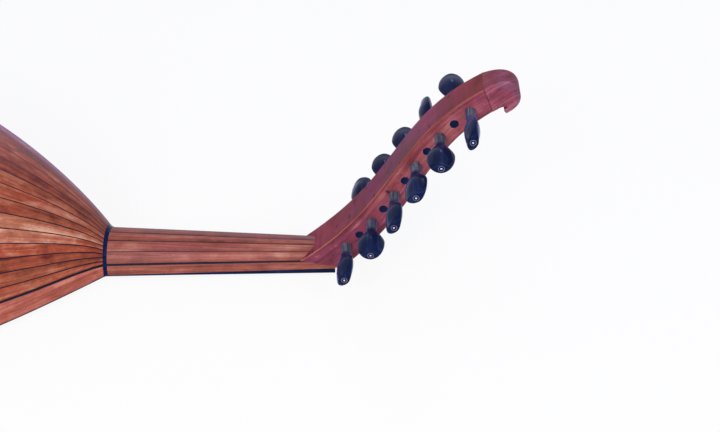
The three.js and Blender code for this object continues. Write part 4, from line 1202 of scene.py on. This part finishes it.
def make_pegs():
    for name, centre, hand, turn in peg_list():
        outer = pegbox_half_width(centre[0])
        rings, kinds = [], []
        for y, half_width, half_thick, power, kind in peg_rows(outer, hand):
            ring = []
            for j, (c, s) in enumerate(circle_steps(PEG_SIDES)):
                x = half_width * copysign(abs(c) ** (2 / power), c)
                z = half_thick * copysign(abs(s) ** (2 / power), s)
                place = (x * cos(turn) + z * sin(turn), z * cos(turn) - x * sin(turn))
                ring.append(((centre[0] + place[0], hand * y, centre[1] + place[1]),
                             (y - outer, x + 30 * j / PEG_SIDES, hand * centre[0] * 0.01)))
            rings.append(ring)
            kinds += [kind] * PEG_SIDES
        kinds = kinds[:-PEG_SIDES] + [0, 1]
        loft(f"{name}_wood", rings, [WORN_EBONY, PEARL, TAN_RING], "ebony", body=name, replaces=[name], kinds=kinds,
             sharp=55)


# Camera, light and floor

WHITE = (1, 1, 1, 1)
SKY_COLOR = (0.86, 0.88, 1.0, 1)
SKY_STRENGTH = 0.55
FLOOR_HALF_SIZE = 14
FLOOR_HEIGHT = -0.0006
FLOOR_GREYS = (0.79, 0.81)
FLOOR_GLOW_SHARE = 0.88

# Name, place, target, size, power and colour
LIGHTS = (
    ("key", (-0.7, -2.4, 1.5), (0.1, 0, 0.05), 1.6, 64, (1.0, 0.97, 0.95)),
    ("fill", (1.7, -1.2, 1.6), (0.2, 0, 0.05), 1.4, 22, (0.92, 0.94, 1.0)),
    ("rim", (0.5, 2.3, 1.5), (0.3, 0, 0.1), 0.7, 14, (0.4, 0.45, 1.0)),
)


def make_camera():
    camera = add_object("camera", bpy.data.cameras.new("camera"))
    bpy.context.scene.camera = camera
    camera.data.sensor_width = SENSOR
    camera.data.lens = FOCAL_PIXELS / IMAGE_WIDTH * SENSOR
    camera.data.clip_end = 100
    turn = Matrix((CAMERA_RIGHT, CAMERA_UP, CAMERA_BACK)).transposed().to_4x4()
    place = TO_FRAME @ Vector(CAMERA_PLACE)
    camera.matrix_world = Matrix.Translation(place) @ Matrix.Rotation(TILT, 4, "Y") @ turn


def area_light(name, place, target, size, power, color):
    light = bpy.data.lights.new(name, "AREA")
    light.shape = "DISK"
    light.size = size
    light.energy = power
    light.color = color
    obj = add_object(name, light)
    obj.location = place
    obj.rotation_euler = (Vector(target) - Vector(place)).to_track_quat("-Z", "Y").to_euler()


def make_world():
    """Sky that shows white and lights softly."""
    world = bpy.data.worlds.new("studio")
    bpy.context.scene.world = world
    s = Shader(world)
    shown = s.nodes["Background"]
    s.put(shown.inputs["Color"], WHITE)
    s.put(shown.inputs["Strength"], 1)
    spread = s.add("Background", {"Color": SKY_COLOR, "Strength": SKY_STRENGTH})
    choice = s.add("MixShader", {0: s.seen_directly(), 1: spread.outputs[0], 2: shown.outputs[0]})
    s.put(s.nodes["World Output"].inputs["Surface"], choice.outputs[0])


def make_floor():
    """Floor that shows nearly white and keeps a faint shadow."""
    size = FLOOR_HALF_SIZE
    mesh = bpy.data.meshes.new("floor")
    mesh.from_pydata([(-size, -size, 0), (size, -size, 0), (size, size, 0), (-size, size, 0)], [], [(0, 1, 2, 3)])
    floor = add_object("floor", mesh)
    floor.location.z = FLOOR_HEIGHT
    s = new_surface("floor")
    grey = s.between(s.noise(s.place(), (3, 3, 3), detail=2), 0, 1, *FLOOR_GREYS)
    mesh.materials.append(s.set(Base_Color=s.grey(grey), Roughness=0.9, Specular_IOR_Level=0.1))
    glow = s.add("Emission", {"Color": WHITE, "Strength": 1.0})
    share = s.math("MULTIPLY", s.seen_directly(), FLOOR_GLOW_SHARE)
    mixed = s.add("MixShader", {0: share, 1: s.nodes["Principled BSDF"].outputs[0], 2: glow.outputs[0]})
    s.put(s.nodes["Material Output"].inputs["Surface"], mixed.outputs[0])


make_camera()
make_bowl()
make_soundboard()
make_binding()
make_braces()
make_hole_rims()
make_pickguard()
make_neck()
make_ring()
make_fingerboard()
make_pegbox()
make_finial()
make_pegs()
make_world()
make_floor()
for light in LIGHTS:
    area_light(*light)

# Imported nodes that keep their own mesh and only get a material
KEPT = {
    "tail_block": TAIL_WOOD,
    "neck_block": BLOCK_WOOD,
    "nut": BONE,
    "rosette_main": ROSETTE_WOOD,
    "rosette_bass": ROSETTE_WOOD,
    "rosette_treble": ROSETTE_WOOD,
    "bridge": BRIDGE_WOOD,
}
for i in range(1, PEG_COUNT + 1):
    KEPT[f"string_{i:02d}"] = WINDING if i <= WOUND_STRINGS else NYLON
for name, material in KEPT.items():
    node = NODES[name]
    node.data.materials.clear()
    node.data.materials.append(material)

bpy.context.scene.view_settings.view_transform = "Standard"
